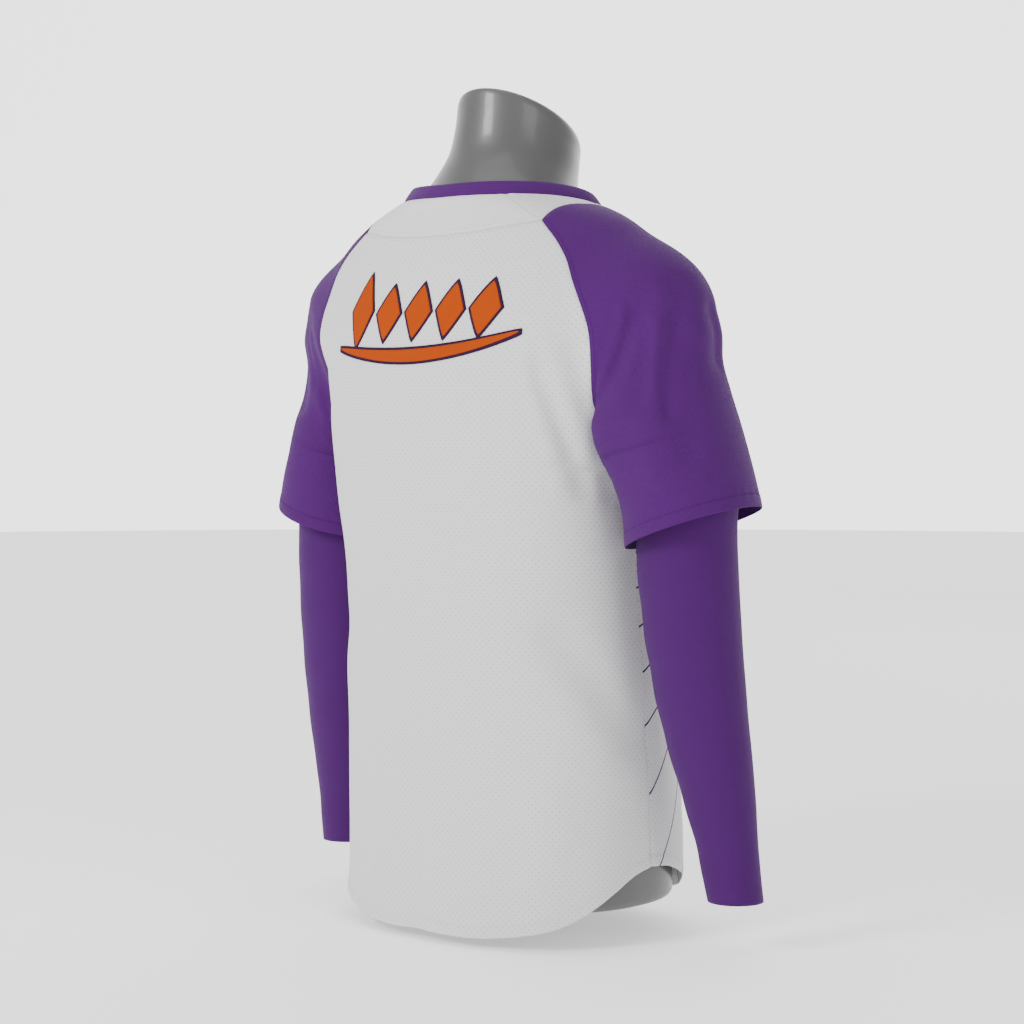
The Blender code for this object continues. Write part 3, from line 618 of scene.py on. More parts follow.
def front_grid(side, sleeve):
    """A front, with its strap over the shoulder to the back yoke."""
    seam = pairs(np.full(SIDE_ROWS + 1, 90.0), side_heights(HEM_FRONT.at("z", 90.0)))
    top_edge = pairs(np.abs(angle_of(sleeve[0])), sleeve[0, :, 2])
    outer = np.concatenate([seam[:-1], FRONT_SEAM[::-1], top_edge[::-1][1:]])
    low = side_heights(HEM_FRONT.at("z", 180.0))[:-1]
    high = np.linspace(UNDERARM_Z, NECKLINE.at("z", 180.0), RAGLAN_ROWS + 1)
    centre = np.concatenate([low, high])
    neck_angle = front_neck_angles(len(sleeve[0]) - 1)[1:]
    neck = pairs(neck_angle, NECKLINE.at("z", neck_angle))
    inner = np.concatenate([pairs(np.full(len(centre), 180.0), centre), neck])
    share = close_at_ends(FRONT_COLUMNS, 0.03)
    hem_angle = 90.0 + 90.0 * share
    bottom = pairs(hem_angle, HEM_FRONT.at("z", hem_angle))
    top = outer[-1] + (inner[-1] - outer[-1]) * share[:, None]
    up = np.clip((outer[:, 1] - outer[0, 1]) / 0.6, 0, 1)
    up[-1] = 1.0
    flat = coons(bottom, top, outer, inner, share, up)
    return place(side * flat[..., 0], flat[..., 1])


def front_neck_angles(count):
    share = np.linspace(0, 1, count + 1)
    return 180.0 + (YOKE_CORNER_ANGLE - 180.0) * (1 - (1 - share) ** STRAP_FAN)


def lengths(grid, axis):
    """Distance walked along a grid from its first row or column."""
    steps = np.linalg.norm(np.diff(grid, axis=axis), axis=-1)
    start = np.zeros_like(np.take(steps, [0], axis=axis))
    return np.concatenate([start, np.cumsum(steps, axis=axis)], axis=axis)


SURVEY_ANGLES = np.linspace(0, 180, 121)
SURVEY_HEIGHTS = np.linspace(0.0, 0.73, 110)


def survey():
    """Distances round the torso from the back and from the front, and up it."""
    height, angle = np.meshgrid(SURVEY_HEIGHTS, SURVEY_ANGLES, indexing="ij")
    points = cast(torso_axis(height), heading(np.radians(angle)), torso_field)
    around = lengths(points, 1)
    return around, around[:, -1:] - around, lengths(points, 0)


SURVEY = survey()


def surveyed(points, table):
    """A table of the survey read at points near the torso."""
    row = np.clip(points[..., 2] / SURVEY_HEIGHTS[1], 0, len(SURVEY_HEIGHTS) - 1.001)
    column = np.clip(np.abs(angle_of(points)) / SURVEY_ANGLES[1], 0, len(SURVEY_ANGLES) - 1.001)
    i, j = row.astype(int), column.astype(int)
    up, over = row - i, column - j
    low = table[i, j] * (1 - over) + table[i, j + 1] * over
    high = table[i + 1, j] * (1 - over) + table[i + 1, j + 1] * over
    return low * (1 - up) + high * up


def torso_uv(grid, from_front):
    """Cloth coordinates on the torso, in metres from the middle of the front or back and up it."""
    around = surveyed(grid, SURVEY[1 if from_front else 0])
    return np.stack([np.sign(grid[..., 0]) * around, surveyed(grid, SURVEY[2])], -1)


def length_uv(grid):
    """Cloth coordinates from distances along the grid itself."""
    across = lengths(grid, 1)
    middle = grid.shape[1] // 2
    return np.stack([across - across[:, middle : middle + 1], lengths(grid, 0)], -1)


def add_object(name, data):
    made = bpy.data.objects.new(name, data)
    bpy.context.scene.collection.objects.link(made)
    return made


def add_mesh(name, points, faces, material, uv=None, crisp=None):
    """A smooth mesh on the body, with edges sharper than crisp degrees left sharp."""
    mesh = bpy.data.meshes.new(name)
    mesh.from_pydata(points.reshape(-1, 3).tolist(), [], faces)
    if uv is not None:
        layer = mesh.uv_layers.new(name="cloth")
        index = np.zeros(len(mesh.loops), dtype=np.int32)
        mesh.loops.foreach_get("vertex_index", index)
        layer.data.foreach_set("uv", uv[index].astype(np.float32).ravel())
    mesh.materials.append(material)
    mesh.shade_smooth()
    if crisp:
        mesh.set_sharp_from_angle(angle=math.radians(crisp))
    piece = add_object(name, mesh)
    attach(piece, "root")
    return piece


def grid_faces(rows, columns, ring):
    i, j = np.meshgrid(np.arange(rows - 1), np.arange(columns if ring else columns - 1), indexing="ij")
    k = (j + 1) % columns
    quads = [i * columns + j, i * columns + k, (i + 1) * columns + k, (i + 1) * columns + j]
    return np.stack(quads, -1).reshape(-1, 4)


def capped_faces(rows, columns, way=1):
    """Faces of a stack of rings with both ends closed, its wall wound one way or the other."""
    wall = grid_faces(rows, columns, True)[:, ::way].tolist()
    last = (rows - 1) * columns
    return [*wall, list(range(columns))[::-1], list(range(last, last + columns))]


def add_shell(name, outer, normals, thickness, material, uv, ring=False):
    """A thin closed shell of cloth under a grid."""
    rows, columns = outer.shape[:2]
    count = rows * columns
    inner = outer - normals * thickness
    points = np.concatenate([outer.reshape(-1, 3), inner.reshape(-1, 3)])
    over = grid_faces(rows, columns, ring)
    a, b, c = points[over[len(over) // 2][:3]]
    if np.cross(b - a, c - a) @ normals.reshape(-1, 3)[over[len(over) // 2][0]] < 0:
        over = over[:, ::-1]
        turn = -1
    else:
        turn = 1
    under = over[:, ::-1] + count
    j = np.arange(columns if ring else columns - 1)
    k = (j + 1) % columns
    last = (rows - 1) * columns
    rims = [np.stack([j, j + count, k + count, k], -1)]
    rims.append(np.stack([last + k, last + k + count, last + j + count, last + j], -1))
    if not ring:
        i = np.arange(rows - 1) * columns
        rims.append(np.stack([i + columns, i + columns + count, i + count, i], -1))
        i = i + columns - 1
        rims.append(np.stack([i, i + count, i + columns + count, i + columns], -1))
    rim = np.concatenate(rims)[:, ::turn]
    faces = np.concatenate([over, under, rim])
    flat_uv = uv.reshape(-1, 2)
    return add_mesh(name, points, faces.tolist(), material, np.concatenate([flat_uv, flat_uv]))


def groove(distance, width, depth):
    return -depth * np.exp(-((distance / width) ** 2))


def relief(grid, seams, hem, hem_width):
    """How far the cloth stands in or out: sunk seams, and a turned-up hem with its stitching."""
    along_row = lengths(grid, 1)
    along_column = lengths(grid, 0)
    reach = {
        "first_column": along_row,
        "last_column": along_row[:, -1:] - along_row,
        "first_row": along_column,
        "last_row": along_column[-1:] - along_column,
    }
    sunk = np.zeros(grid.shape[:2])
    rolled = np.zeros(grid.shape[:2])
    for edge in seams:
        sunk = np.minimum(sunk, groove(reach[edge], SEAM_WIDTH, SEAM_DEPTH))
        rolled = np.maximum(rolled, 0.00025 * np.exp(-(((reach[edge] - 0.0055) / 0.0030) ** 2)))
    total = sunk + rolled
    if hem:
        away = reach[hem]
        total = total + 0.00035 * (1 - smooth_step((away - hem_width) / 0.0015))
        total = total + groove(away - hem_width, STITCH_WIDTH, STITCH_DEPTH)
        pucker = np.sin(along_row * 2 * math.pi / PUCKER_PITCH + 2.0 * np.sin(along_row * 37.0))
        total = total + PUCKER_HEIGHT * pucker * np.exp(-(((away - hem_width) / 0.006) ** 2))
        total = total + groove(away, 0.0012, 0.0004)
    return total


def add_cloth(name, grid, skin, material, seams, hem=None, hem_width=HEM_WIDTH, uv=None):
    """A panel's fine shell, with the seams and the hem worked into it."""
    normals = normals_on(grid, skin)
    outer = grid + normals * relief(grid, seams, hem, hem_width)[..., None]
    piece = add_shell(name, outer, normals, CLOTH, material, uv)
    return piece, outer, normals


# Finishes


def new_material(name):
    material = bpy.data.materials.new(name)
    material.use_nodes = True
    tree = material.node_tree
    return material, tree, tree.nodes["Principled BSDF"]


def math_node(tree, operation, a, b=None, c=None, clamp=False):
    node = tree.nodes.new("ShaderNodeMath")
    node.operation = operation
    node.use_clamp = clamp
    for socket, value in zip(node.inputs, (a, b, c)):
        if value is None:
            continue
        if isinstance(value, (int, float)):
            socket.default_value = value
        else:
            tree.links.new(value, socket)
    return node.outputs[0]


def cloth_uv(tree):
    node = tree.nodes.new("ShaderNodeUVMap")
    node.uv_map = "cloth"
    split = tree.nodes.new("ShaderNodeSeparateXYZ")
    tree.links.new(node.outputs["UV"], split.inputs[0])
    return split.outputs["X"], split.outputs["Y"], node.outputs["UV"]


def dots(tree, u, v, pitch, radius, soft):
    """1 in round holes on a diagonal grid, 0 between them."""
    a = math_node(tree, "DIVIDE", math_node(tree, "ADD", u, v), pitch)
    b = math_node(tree, "DIVIDE", math_node(tree, "SUBTRACT", u, v), pitch)
    squares = []
    for value in (a, b):
        away = math_node(tree, "SUBTRACT", math_node(tree, "FRACT", value), 0.5)
        squares.append(math_node(tree, "MULTIPLY", away, away))
    away = math_node(tree, "SQRT", math_node(tree, "ADD", squares[0], squares[1]))
    inside = math_node(tree, "SUBTRACT", radius + soft, away)
    return math_node(tree, "DIVIDE", inside, soft, clamp=True)


def noise(tree, vector, scale, detail=2.0):
    node = tree.nodes.new("ShaderNodeTexNoise")
    node.inputs["Scale"].default_value = scale
    node.inputs["Detail"].default_value = detail
    tree.links.new(vector, node.inputs["Vector"])
    return node.outputs["Fac"]


def mix_colour(tree, share, a, b):
    node = tree.nodes.new("ShaderNodeMix")
    node.data_type = "RGBA"
    tree.links.new(share, node.inputs["Factor"])
    for socket, value in ((node.inputs[6], a), (node.inputs[7], b)):
        if isinstance(value, tuple):
            socket.default_value = (*value, 1.0)
        else:
            tree.links.new(value, socket)
    return node.outputs[2]


def bump(tree, shader, height, distance, strength=1.0):
    node = tree.nodes.new("ShaderNodeBump")
    node.inputs["Strength"].default_value = strength
    node.inputs["Distance"].default_value = distance
    tree.links.new(height, node.inputs["Height"])
    tree.links.new(node.outputs["Normal"], shader.inputs["Normal"])


def knit_height(tree, u, v, wale, course):
    """Small loops of a knit: rounded wales crossed by courses."""
    wave = math_node(tree, "SINE", math_node(tree, "MULTIPLY", u, math.pi / wale))
    across = math_node(tree, "ABSOLUTE", wave)
    shift = math_node(tree, "MULTIPLY", across, 0.6)
    level = math_node(tree, "ADD", math_node(tree, "MULTIPLY", v, math.pi / course), shift)
    along = math_node(tree, "ABSOLUTE", math_node(tree, "SINE", level))
    return math_node(tree, "MULTIPLY", across, along)


def cloth_material(name, colour, shade, hole_shade, radius, wale, course, holes, lines=None):
    """A knitted cloth with eyelets on a diagonal grid, and a woven-in variation of tone. Painted shade
    darkens the hollows between its loops and its eyelets.
    """
    material, tree, shader = new_material(name)
    u, v, uv = cloth_uv(tree)
    plain = mix_colour(tree, noise(tree, uv, 9.0, 3.0), colour, shade)
    loops = knit_height(tree, u, v, wale, course)
    flecks = noise(tree, uv, 900.0, 2.0)
    # Painted shade: the hollows between the knit's loops are darkened towards the eyelet colour, with
    # fine flecks at random mixed in.
    hollow_shade_and_flecks = math_node(tree, "MULTIPLY", math_node(tree, "SUBTRACT", 1.0, loops), 0.16)
    hollow_shade_and_flecks = math_node(tree, "MULTIPLY_ADD", flecks, 0.10, hollow_shade_and_flecks)
    knitted = mix_colour(tree, hollow_shade_and_flecks, plain, hole_shade)
    height = math_node(tree, "MULTIPLY", loops, 0.45)
    if holes > 0:
        # The eyelets are real holes; their darker colour is painted shade inside them.
        inside = dots(tree, u, v, EYELET_PITCH, radius, 0.09)
        share = math_node(tree, "MULTIPLY", inside, holes)
        knitted = mix_colour(tree, share, knitted, hole_shade)
        height = math_node(tree, "SUBTRACT", height, inside)
    if lines:
        knitted = mix_colour(tree, sunburst(tree, u, v, *lines), knitted, (0.030, 0.014, 0.085))
    tree.links.new(knitted, shader.inputs["Base Color"])
    rough = math_node(tree, "MULTIPLY_ADD", flecks, 0.10, 0.78)
    tree.links.new(rough, shader.inputs["Roughness"])
    shader.inputs["Specular IOR Level"].default_value = 0.20
    shader.inputs["Sheen Weight"].default_value = 0.05
    shader.inputs["Sheen Roughness"].default_value = 0.5
    bump(tree, shader, height, 0.0004, 0.7)
    return material


def sunburst(tree, u, v, centre_v, spacing, first, half_width):
    """1 on thin straight lines that fan out from one point on the middle of the front."""
    rise = math_node(tree, "SUBTRACT", v, centre_v)
    out = math_node(tree, "ABSOLUTE", u)
    angle = math_node(tree, "ARCTAN2", rise, out)
    number = math_node(tree, "SUBTRACT", angle, math.radians(first))
    number = math_node(tree, "DIVIDE", number, math.radians(spacing))
    number = math_node(tree, "ADD", number, 0.5)
    away = math_node(tree, "SUBTRACT", math_node(tree, "FRACT", number), 0.5)
    turn = math_node(tree, "MULTIPLY", away, math.radians(spacing))
    squared = math_node(tree, "MULTIPLY_ADD", rise, rise, math_node(tree, "MULTIPLY", out, out))
    distance = math_node(tree, "MULTIPLY", turn, math_node(tree, "SQRT", squared))
    distance = math_node(tree, "ABSOLUTE", distance)
    edge = math_node(tree, "SUBTRACT", half_width + 0.0002, distance)
    edge = math_node(tree, "DIVIDE", edge, 0.0002, clamp=True)
    beyond = math_node(tree, "GREATER_THAN", math_node(tree, "SQRT", squared), 0.060)
    below_strap = math_node(tree, "LESS_THAN", v, 0.655)
    return math_node(tree, "MULTIPLY", math_node(tree, "MULTIPLY", edge, beyond), below_strap)


def plain_material(
    name, colour, roughness, coat=0.0, grain=0.0, grain_scale=400.0, sheen=0.0, specular=0.5
):
    material, tree, shader = new_material(name)
    where = tree.nodes.new("ShaderNodeTexCoord").outputs["Object"]
    tone = noise(tree, where, 12.0, 3.0)
    darker = tuple(value * 0.86 for value in colour)
    tree.links.new(mix_colour(tree, tone, colour, darker), shader.inputs["Base Color"])
    fine = noise(tree, where, grain_scale, 3.0)
    rough = math_node(tree, "MULTIPLY_ADD", fine, 0.08, roughness - 0.04)
    tree.links.new(rough, shader.inputs["Roughness"])
    shader.inputs["Coat Weight"].default_value = coat
    shader.inputs["Coat Roughness"].default_value = 0.12
    shader.inputs["Sheen Weight"].default_value = sheen
    shader.inputs["Specular IOR Level"].default_value = specular
    if grain > 0:
        bump(tree, shader, fine, grain, 0.5)
    return material


EYELET_PITCH = 0.0064

# Of each cloth: its colour, a darker tone it varies to at random, and the painted shade in its
# eyelets and knit hollows; then the eyelets' radius in pitches, the knit's wale and course, and
# how strongly the eyelets show
WHITE_MESH = ((0.80, 0.80, 0.80), (0.76, 0.76, 0.76), (0.36, 0.36, 0.37), 0.085, 0.0011, 0.0013, 0.75)
PURPLES = ((0.070, 0.0045, 0.127), (0.062, 0.0040, 0.114), (0.026, 0.002, 0.050))
WHITE = cloth_material("white_mesh", *WHITE_MESH)
WHITE_PLAIN = cloth_material(
    "white_yoke", (0.81, 0.81, 0.81), (0.775, 0.775, 0.775), (0.42, 0.42, 0.43),
    0.07, 0.0009, 0.0011, 0.20,
)
LINED = cloth_material("white_mesh_lined", *WHITE_MESH, lines=(0.417, 7.6, -9.3, 0.0008))
PURPLE = cloth_material("purple_mesh", *PURPLES, 0.07, 0.0011, 0.0013, 0.22)
KNIT = cloth_material(
    "purple_knit", (0.060, 0.0038, 0.112), (0.054, 0.0033, 0.100), (0.026, 0.002, 0.050),
    0.06, 0.0009, 0.0012, 0.0,
)
RIB = cloth_material("purple_rib", *PURPLES, 0.06, 0.0016, 0.0040, 0.0)
WHITE_THREAD = plain_material(
    "white_thread", (0.74, 0.74, 0.74), 0.6, grain=0.0001, grain_scale=2500.0, sheen=0.2
)
PURPLE_THREAD = plain_material(
    "purple_thread", (0.056, 0.005, 0.100), 0.8, grain=0.0001, grain_scale=2500.0, specular=0.1
)
ORANGE = plain_material(
    "orange_twill", (0.40, 0.052, 0.0005), 0.8, grain=0.0002, grain_scale=1500.0, specular=0.08
)
PLUM = plain_material(
    "plum_twill", (0.030, 0.009, 0.034), 0.8, grain=0.0002, grain_scale=1500.0, specular=0.1
)
PLASTIC = plain_material("white_button", (0.72, 0.72, 0.70), 0.30, coat=0.5, grain=0.00005)
GLOSS = plain_material(
    "form_grey", (0.085, 0.085, 0.087), 0.40, coat=0.25, grain=0.00008, grain_scale=160.0
)


# Stitching

# Along one stitch: share of its length, of its radius, and how high it lies in radii
THREAD_PROFILE = (
    (0.0, 0.15, -0.6),
    (0.12, 0.8, 0.2),
    (0.5, 1.0, 0.9),
    (0.88, 0.8, 0.2),
    (1.0, 0.15, -0.6),
)


def stitch_line(name, path, normals, material, pitch=0.0027, share=0.72, radius=0.00022):
    """A row of separate raised stitches along a path that lies on cloth."""
    steps = np.linalg.norm(np.diff(path, axis=0), axis=-1)
    walked = np.concatenate([[0.0], np.cumsum(steps)])
    count = max(1, int(walked[-1] / pitch))
    starts = np.arange(count) * pitch

    def at(where, values):
        return np.stack([np.interp(where, walked, values[:, axis]) for axis in range(3)], -1)

    rings = []
    for along, width, high in THREAD_PROFILE:
        where = starts + along * share * pitch
        middle = at(where, path)
        up = at(where, normals)
        up = unit(up)
        way = at(where + 0.0002, path) - at(where - 0.0002, path)
        way = unit(way)
        side = np.cross(way, up)
        middle = middle + up * (THREAD_LIFT + radius * high)
        corners = []
        for turn in (0.0, 0.25, 0.5, 0.75):
            angle = 2 * math.pi * turn
            corners.append(middle + radius * width * (side * math.cos(angle) + up * math.sin(angle)))
        rings.append(np.stack(corners, 1))
    points = np.stack(rings, 1)
    one = np.array(capped_faces(len(THREAD_PROFILE), 4))
    each = 4 * len(THREAD_PROFILE)
    faces = (one + each * np.arange(count)[:, None, None]).reshape(-1, 4)
    return add_mesh(name, points, faces.tolist(), material)


def beside_row(outer, normals, distance, from_last=False):
    """The line on a grid at one distance from its first or last row."""
    grid = outer[::-1] if from_last else outer
    normal = normals[::-1] if from_last else normals
    walked = lengths(grid, 0)
    path, ups = [], []
    for j in range(grid.shape[1]):
        path.append([np.interp(distance, walked[:, j], grid[:, j, axis]) for axis in range(3)])
        ups.append([np.interp(distance, walked[:, j], normal[:, j, axis]) for axis in range(3)])
    return np.array(path), np.array(ups)


def beside_column(outer, normals, distance, from_last=False):
    """The line on a grid at one distance from its first or last column."""
    grid = np.swapaxes(outer, 0, 1)
    normal = np.swapaxes(normals, 0, 1)
    return beside_row(grid, normal, distance, from_last)


# Panels


def lap_over(sleeve):
    """Pushes the sleeve's slack outwards, and leaves its seam where it is."""
    away = (sleeve - np.array(LAP_PLACE)) / (LAP_WIDTH, LAP_WIDTH, LAP_HEIGHT)
    weight = np.exp(-(away**2).sum(-1)) * smooth_step(lengths(sleeve, 1) / LAP_CLEAR)
    return sleeve + weight[..., None] * np.array(LAP_PUSH)


def make_body():
    pieces = {}
    back = back_grid()
    pieces["back"] = add_cloth(
        "jersey_back", back, body_skin, WHITE, ("last_row", "first_column", "last_column"), "first_row",
        uv=torso_uv(back, False),
    )
    yoke = yoke_grid()
    pieces["yoke"] = add_cloth(
        "jersey_yoke", yoke, body_skin, WHITE_PLAIN,
        ("first_row", "last_row", "first_column", "last_column"),
        uv=torso_uv(yoke, False),
    )
    for side, word in ((1, "left"), (-1, "right")):
        sleeve = sleeve_grid(side)
        if side < 0:
            sleeve = lap_over(sleeve)
        pieces["sleeve_" + word] = add_cloth(
            "short_sleeve_" + word, sleeve, sleeve_skin, PURPLE, ("first_row",), "last_row",
            SLEEVE_HEM_WIDTH, length_uv(sleeve),
        )
        front = front_grid(side, sleeve)
        pieces["front_" + word] = add_cloth(
            "jersey_front_" + word, front, body_skin, LINED, ("last_row", "first_column"), "first_row",
            uv=torso_uv(front, True),
        )
    return pieces


def replace_nodes():
    for key, node in (
        ("back", "back_panel"),
        ("yoke", "back_yoke"),
        ("front_left", "front_left"),
        ("front_right", "front_right"),
        ("sleeve_left", "sleeve_left"),
        ("sleeve_right", "sleeve_right"),
    ):
        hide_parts(node)


def stitch_panels(pieces):
    """Hem stitching, and a row of stitches beside each raglan and yoke seam."""
    made = {}
    _, outer, normals = pieces["back"]
    made["back"] = [
        stitch_line("hem_stitch_back", *beside_row(outer, normals, HEM_WIDTH), WHITE_THREAD),
        stitch_line("yoke_stitch_low", *beside_row(outer, normals, YOKE_STITCH, True), WHITE_THREAD),
    ]
    _, outer, normals = pieces["yoke"]
    high_line = beside_row(outer, normals, YOKE_STITCH)
    made["yoke"] = [stitch_line("yoke_stitch_high", *high_line, WHITE_THREAD)]
    for word in ("left", "right"):
        _, outer, normals = pieces["front_" + word]
        made["front_" + word] = [
            stitch_line("hem_stitch_front_" + word, *beside_row(outer, normals, HEM_WIDTH), WHITE_THREAD)
        ]
        _, outer, normals = pieces["sleeve_" + word]
        upper = outer[: RAGLAN_ROWS - 6]
        upper_normals = normals[: RAGLAN_ROWS - 6]
        hem_line = beside_row(outer, normals, SLEEVE_HEM_WIDTH, True)
        back_line = beside_column(upper, upper_normals, RAGLAN_STITCH)
        front_line = beside_column(upper, upper_normals, RAGLAN_STITCH, True)
        made["sleeve_" + word] = [
            stitch_line("hem_stitch_sleeve_" + word, *hem_line, PURPLE_THREAD),
            stitch_line("raglan_stitch_back_" + word, *back_line, PURPLE_THREAD),
            stitch_line("raglan_stitch_front_" + word, *front_line, PURPLE_THREAD),
        ]
    return made


def make_neckband():
    """A folded rib band that leans in from the neckline."""
    angle = np.linspace(-180, 180, BAND_COLUMNS, endpoint=False)
    base = place(angle, NECKLINE.at("z", np.abs(angle)))
    skin_normal = normals_on(base, body_skin)
    radial = heading(np.radians(angle))
    rise = np.array([0.0, 0.0, BAND_RISE]) - radial * BAND_LEAN
    way = unit(rise)
    square = np.cross(np.cross(way, radial), way)
    square = unit(square)
    outline = (
        (0.00, -0.0003),
        (0.05, 0.0001),
        (0.15, 0.0005),
        (0.35, 0.0006),
        (0.60, 0.0005),
        (0.80, 0.0004),
        (0.92, 0.0001),
        (0.98, -0.0004),
        (1.00, -0.0009),
        (0.98, -0.0014),
        (0.90, -0.0018),
        (0.60, -0.0018),
        (0.30, -0.0017),
        (0.00, -0.0016),
    )
    rings, around, level = [], [], []
    walked = np.concatenate([[0.0], np.cumsum(np.linalg.norm(np.diff(base, axis=0), axis=-1))])
    for share, out in outline:
        normal = skin_normal + (square - skin_normal) * smooth_step(share * 2)
        normal = unit(normal)
        rings.append(base + rise * share + normal * out)
        around.append(walked)
        level.append(np.full(len(angle), 0.016 * share + (0.016 if out < -0.001 else 0.0)))
    points = np.array(rings)
    uv = np.stack([np.array(around), np.array(level)], -1)
    rows, columns = points.shape[:2]
    faces = grid_faces(rows, columns, True)
    first = np.arange(columns)
    following = (first + 1) % columns
    last = (rows - 1) * columns
    closing = np.stack([first + last, following + last, following, first], -1)
    faces = np.concatenate([faces, closing])
    a, b, c = points.reshape(-1, 3)[faces[columns * 3][:3]]
    if np.cross(b - a, c - a) @ (a - np.array([0.0, 0.02, a[2]])) < 0:
        faces = faces[:, ::-1]
    band = add_mesh("neck_rib", points, faces.tolist(), RIB, uv.reshape(-1, 2))
    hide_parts("neckband")
    return band, float(walked[-1])


def make_placket():
    """The doubled strip down the front and its edge stitching."""
    low = HEM_FRONT.at("z", 180.0) + 0.001
    high = NECKLINE.at("z", 180.0) - 0.001
    heights = np.linspace(low, high, PLACKET_ROWS)
    half = PLACKET_HALF_WIDTH
    right_half = np.array([0.3, 0.6, 0.80, 0.90, 0.95, 0.985, 1.0])
    across = np.concatenate([-right_half[::-1], [0.0], right_half]) * half
    start = np.zeros((len(heights), len(across), 3))
    start[..., 0] = across
    start[..., 1] = TORSO.at("centre_y", heights)[:, None]
    start[..., 2] = heights[:, None]
    forward = np.zeros_like(start)
    forward[..., 1] = -1.0
    base = cast(start, forward, body_skin)
    normals = normals_on(base, body_skin)
    from_edge = half - np.abs(across)
    raised = 0.0003 + 0.0014 * smooth_step((from_edge + 0.0002) / 0.0009)
    raised = raised + groove(from_edge - 0.0030, 0.0010, 0.00035)
    outer = base + normals * raised[None, :, None]
    uv = np.stack([np.broadcast_to(across, outer.shape[:2]), outer[..., 2]], -1)
    strip = add_shell("placket_strip", outer, normals, 0.0012, WHITE_PLAIN, uv)
    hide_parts("placket")
    extra = []
    for number, column in ((1, 3), (2, len(across) - 4)):
        line = outer[:, column]
        extra.append(stitch_line(f"placket_stitch_{number}", line, normals[:, column], WHITE_THREAD))
    return strip, extra, float(high - low)


def make_buttons():
    """Four-hole buttons with a rim and crossed thread, over each CAD button."""
    profile = (
        (0.0, 0.0000),
        (0.90, 0.0000),
        (0.985, 0.0004),
        (1.00, 0.0011),
        (0.97, 0.0019),
        (0.90, 0.0024),
        (0.82, 0.0023),
        (0.74, 0.0017),
        (0.66, 0.0014),
        (0.30, 0.0014),
        (0.0, 0.0014),
    )
    for number in range(BUTTON_COUNT):
        node = f"button_{number + 1}"
        low, high = (np.array(corner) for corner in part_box(node))
        points = np.array([vertex.co[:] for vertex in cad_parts[node].data.vertices])
        middle = (low + high) / 2
        spread = np.linalg.svd(points - points.mean(axis=0))[2]
        normal = spread[2] * (-1 if spread[2][1] > 0 else 1)
        reach = (points - middle) @ normal
        foot = middle + normal * reach.min()
        side = np.array([1.0, 0.0, 0.0])
        side = side - normal * (side @ normal)
        side = side / np.linalg.norm(side)
        other = np.cross(normal, side)
        turn = full_turn(BUTTON_SIDES)
        rings = []
        for share, height in profile[1:-1]:
            spokes = side * np.cos(turn)[:, None] + other * np.sin(turn)[:, None]
            rings.append(foot + normal * height + spokes * share * BUTTON_RADIUS)
        faces = capped_faces(len(rings), BUTTON_SIDES)
        piece = add_mesh(node + "_turned", np.array(rings), faces, PLASTIC, crisp=45)
        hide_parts(node)
        for count, slope in ((1, 1.0), (2, -1.0)):
            share = np.linspace(-1, 1, 9)[:, None]
            way = (side + other * slope) / math.sqrt(2)
            arch = 0.0015 + 0.0003 * np.sqrt(np.clip(1 - share**2, 0, 1)) + 0.0001 * count
            path = foot + way * share * THREAD_REACH + normal * arch
            ups = np.broadcast_to(normal, path.shape)
            crossing = (WHITE_THREAD, 2 * THREAD_REACH, 0.98, 0.00030)
            stitch_line(f"{node}_thread_{count}", path, ups, *crossing)


def undersleeve_rings(side):
    """Fine rings of an undersleeve, with soft rings of slack towards the wrist."""
    turn = full_turn(UNDERSLEEVE_COLUMNS)
    low = UNDERSLEEVE.along[0]
    heights = low + (UNDERSLEEVE_TOP_Z - low) * (1 - close_at_ends(UNDERSLEEVE_ROWS, 0.05, both=False))
    rings = []
    for height in heights:
        own = smooth_step((UNDERSLEEVE_TOP_Z - height) / (UNDERSLEEVE_TOP_Z - UNDERSLEEVE_FREE_Z))
        pitch = SLEEVE_HEM_PITCH * (height - low) / UNDERSLEEVE_TOP_Z
        slope = math.tan(math.radians(pitch + CUFF_PITCH * (1 - own)))
        slack = smooth_step((0.40 - height) / 0.05) * smooth_step((height - low - 0.02) / 0.03)
        ripple = np.sin(2 * math.pi * height / 0.058 + 1.3 * np.sin(turn + 0.6))
        ripple = ripple * (0.6 + 0.4 * np.cos(turn - 2.4))
        radius = UNDERSLEEVE.at("radius", height) + 0.00045 * slack * ripple
        x = UNDERSLEEVE.at("x", height) + radius * np.cos(turn)
        y = UNDERSLEEVE.at("y", height) + radius * np.sin(turn)
        z = height + (x - UNDERSLEEVE.at("x", height)) * slope
        rings.append(np.stack([x, y, z], -1) * own + sewn_ring(height, turn, side) * (1 - own))
    return np.array(rings) * (side, 1.0, 1.0)


def sewn_ring(height, turn, side):
    """A ring just inside the short sleeve's wall, with that sleeve's own creases."""

    def wall(p):
        return sleeve_field(p) + drape(p * (side, 1.0, 1.0))

    middle_x, middle_y, _ = sleeve_middle(height)
    slope = math.tan(math.radians(SLEEVE_HEM_PITCH))
    direction = np.stack([np.cos(turn), np.sin(turn), np.cos(turn) * slope], -1)
    start = np.broadcast_to(np.array([middle_x, middle_y, height]), direction.shape)
    on_skin = cast(start, direction, wall, reach=0.16)
    return on_skin - normals_on(on_skin, wall) * (0.0013 + SEWN_GAP)


def ring_normals(rings):
    around = np.roll(rings, -1, axis=1) - np.roll(rings, 1, axis=1)
    along = np.gradient(rings, axis=0)
    normal = np.cross(around, along)
    normal = unit(normal)
    out = rings - rings.mean(axis=1, keepdims=True)
    return normal * np.sign((normal * out).sum(-1, keepdims=True))


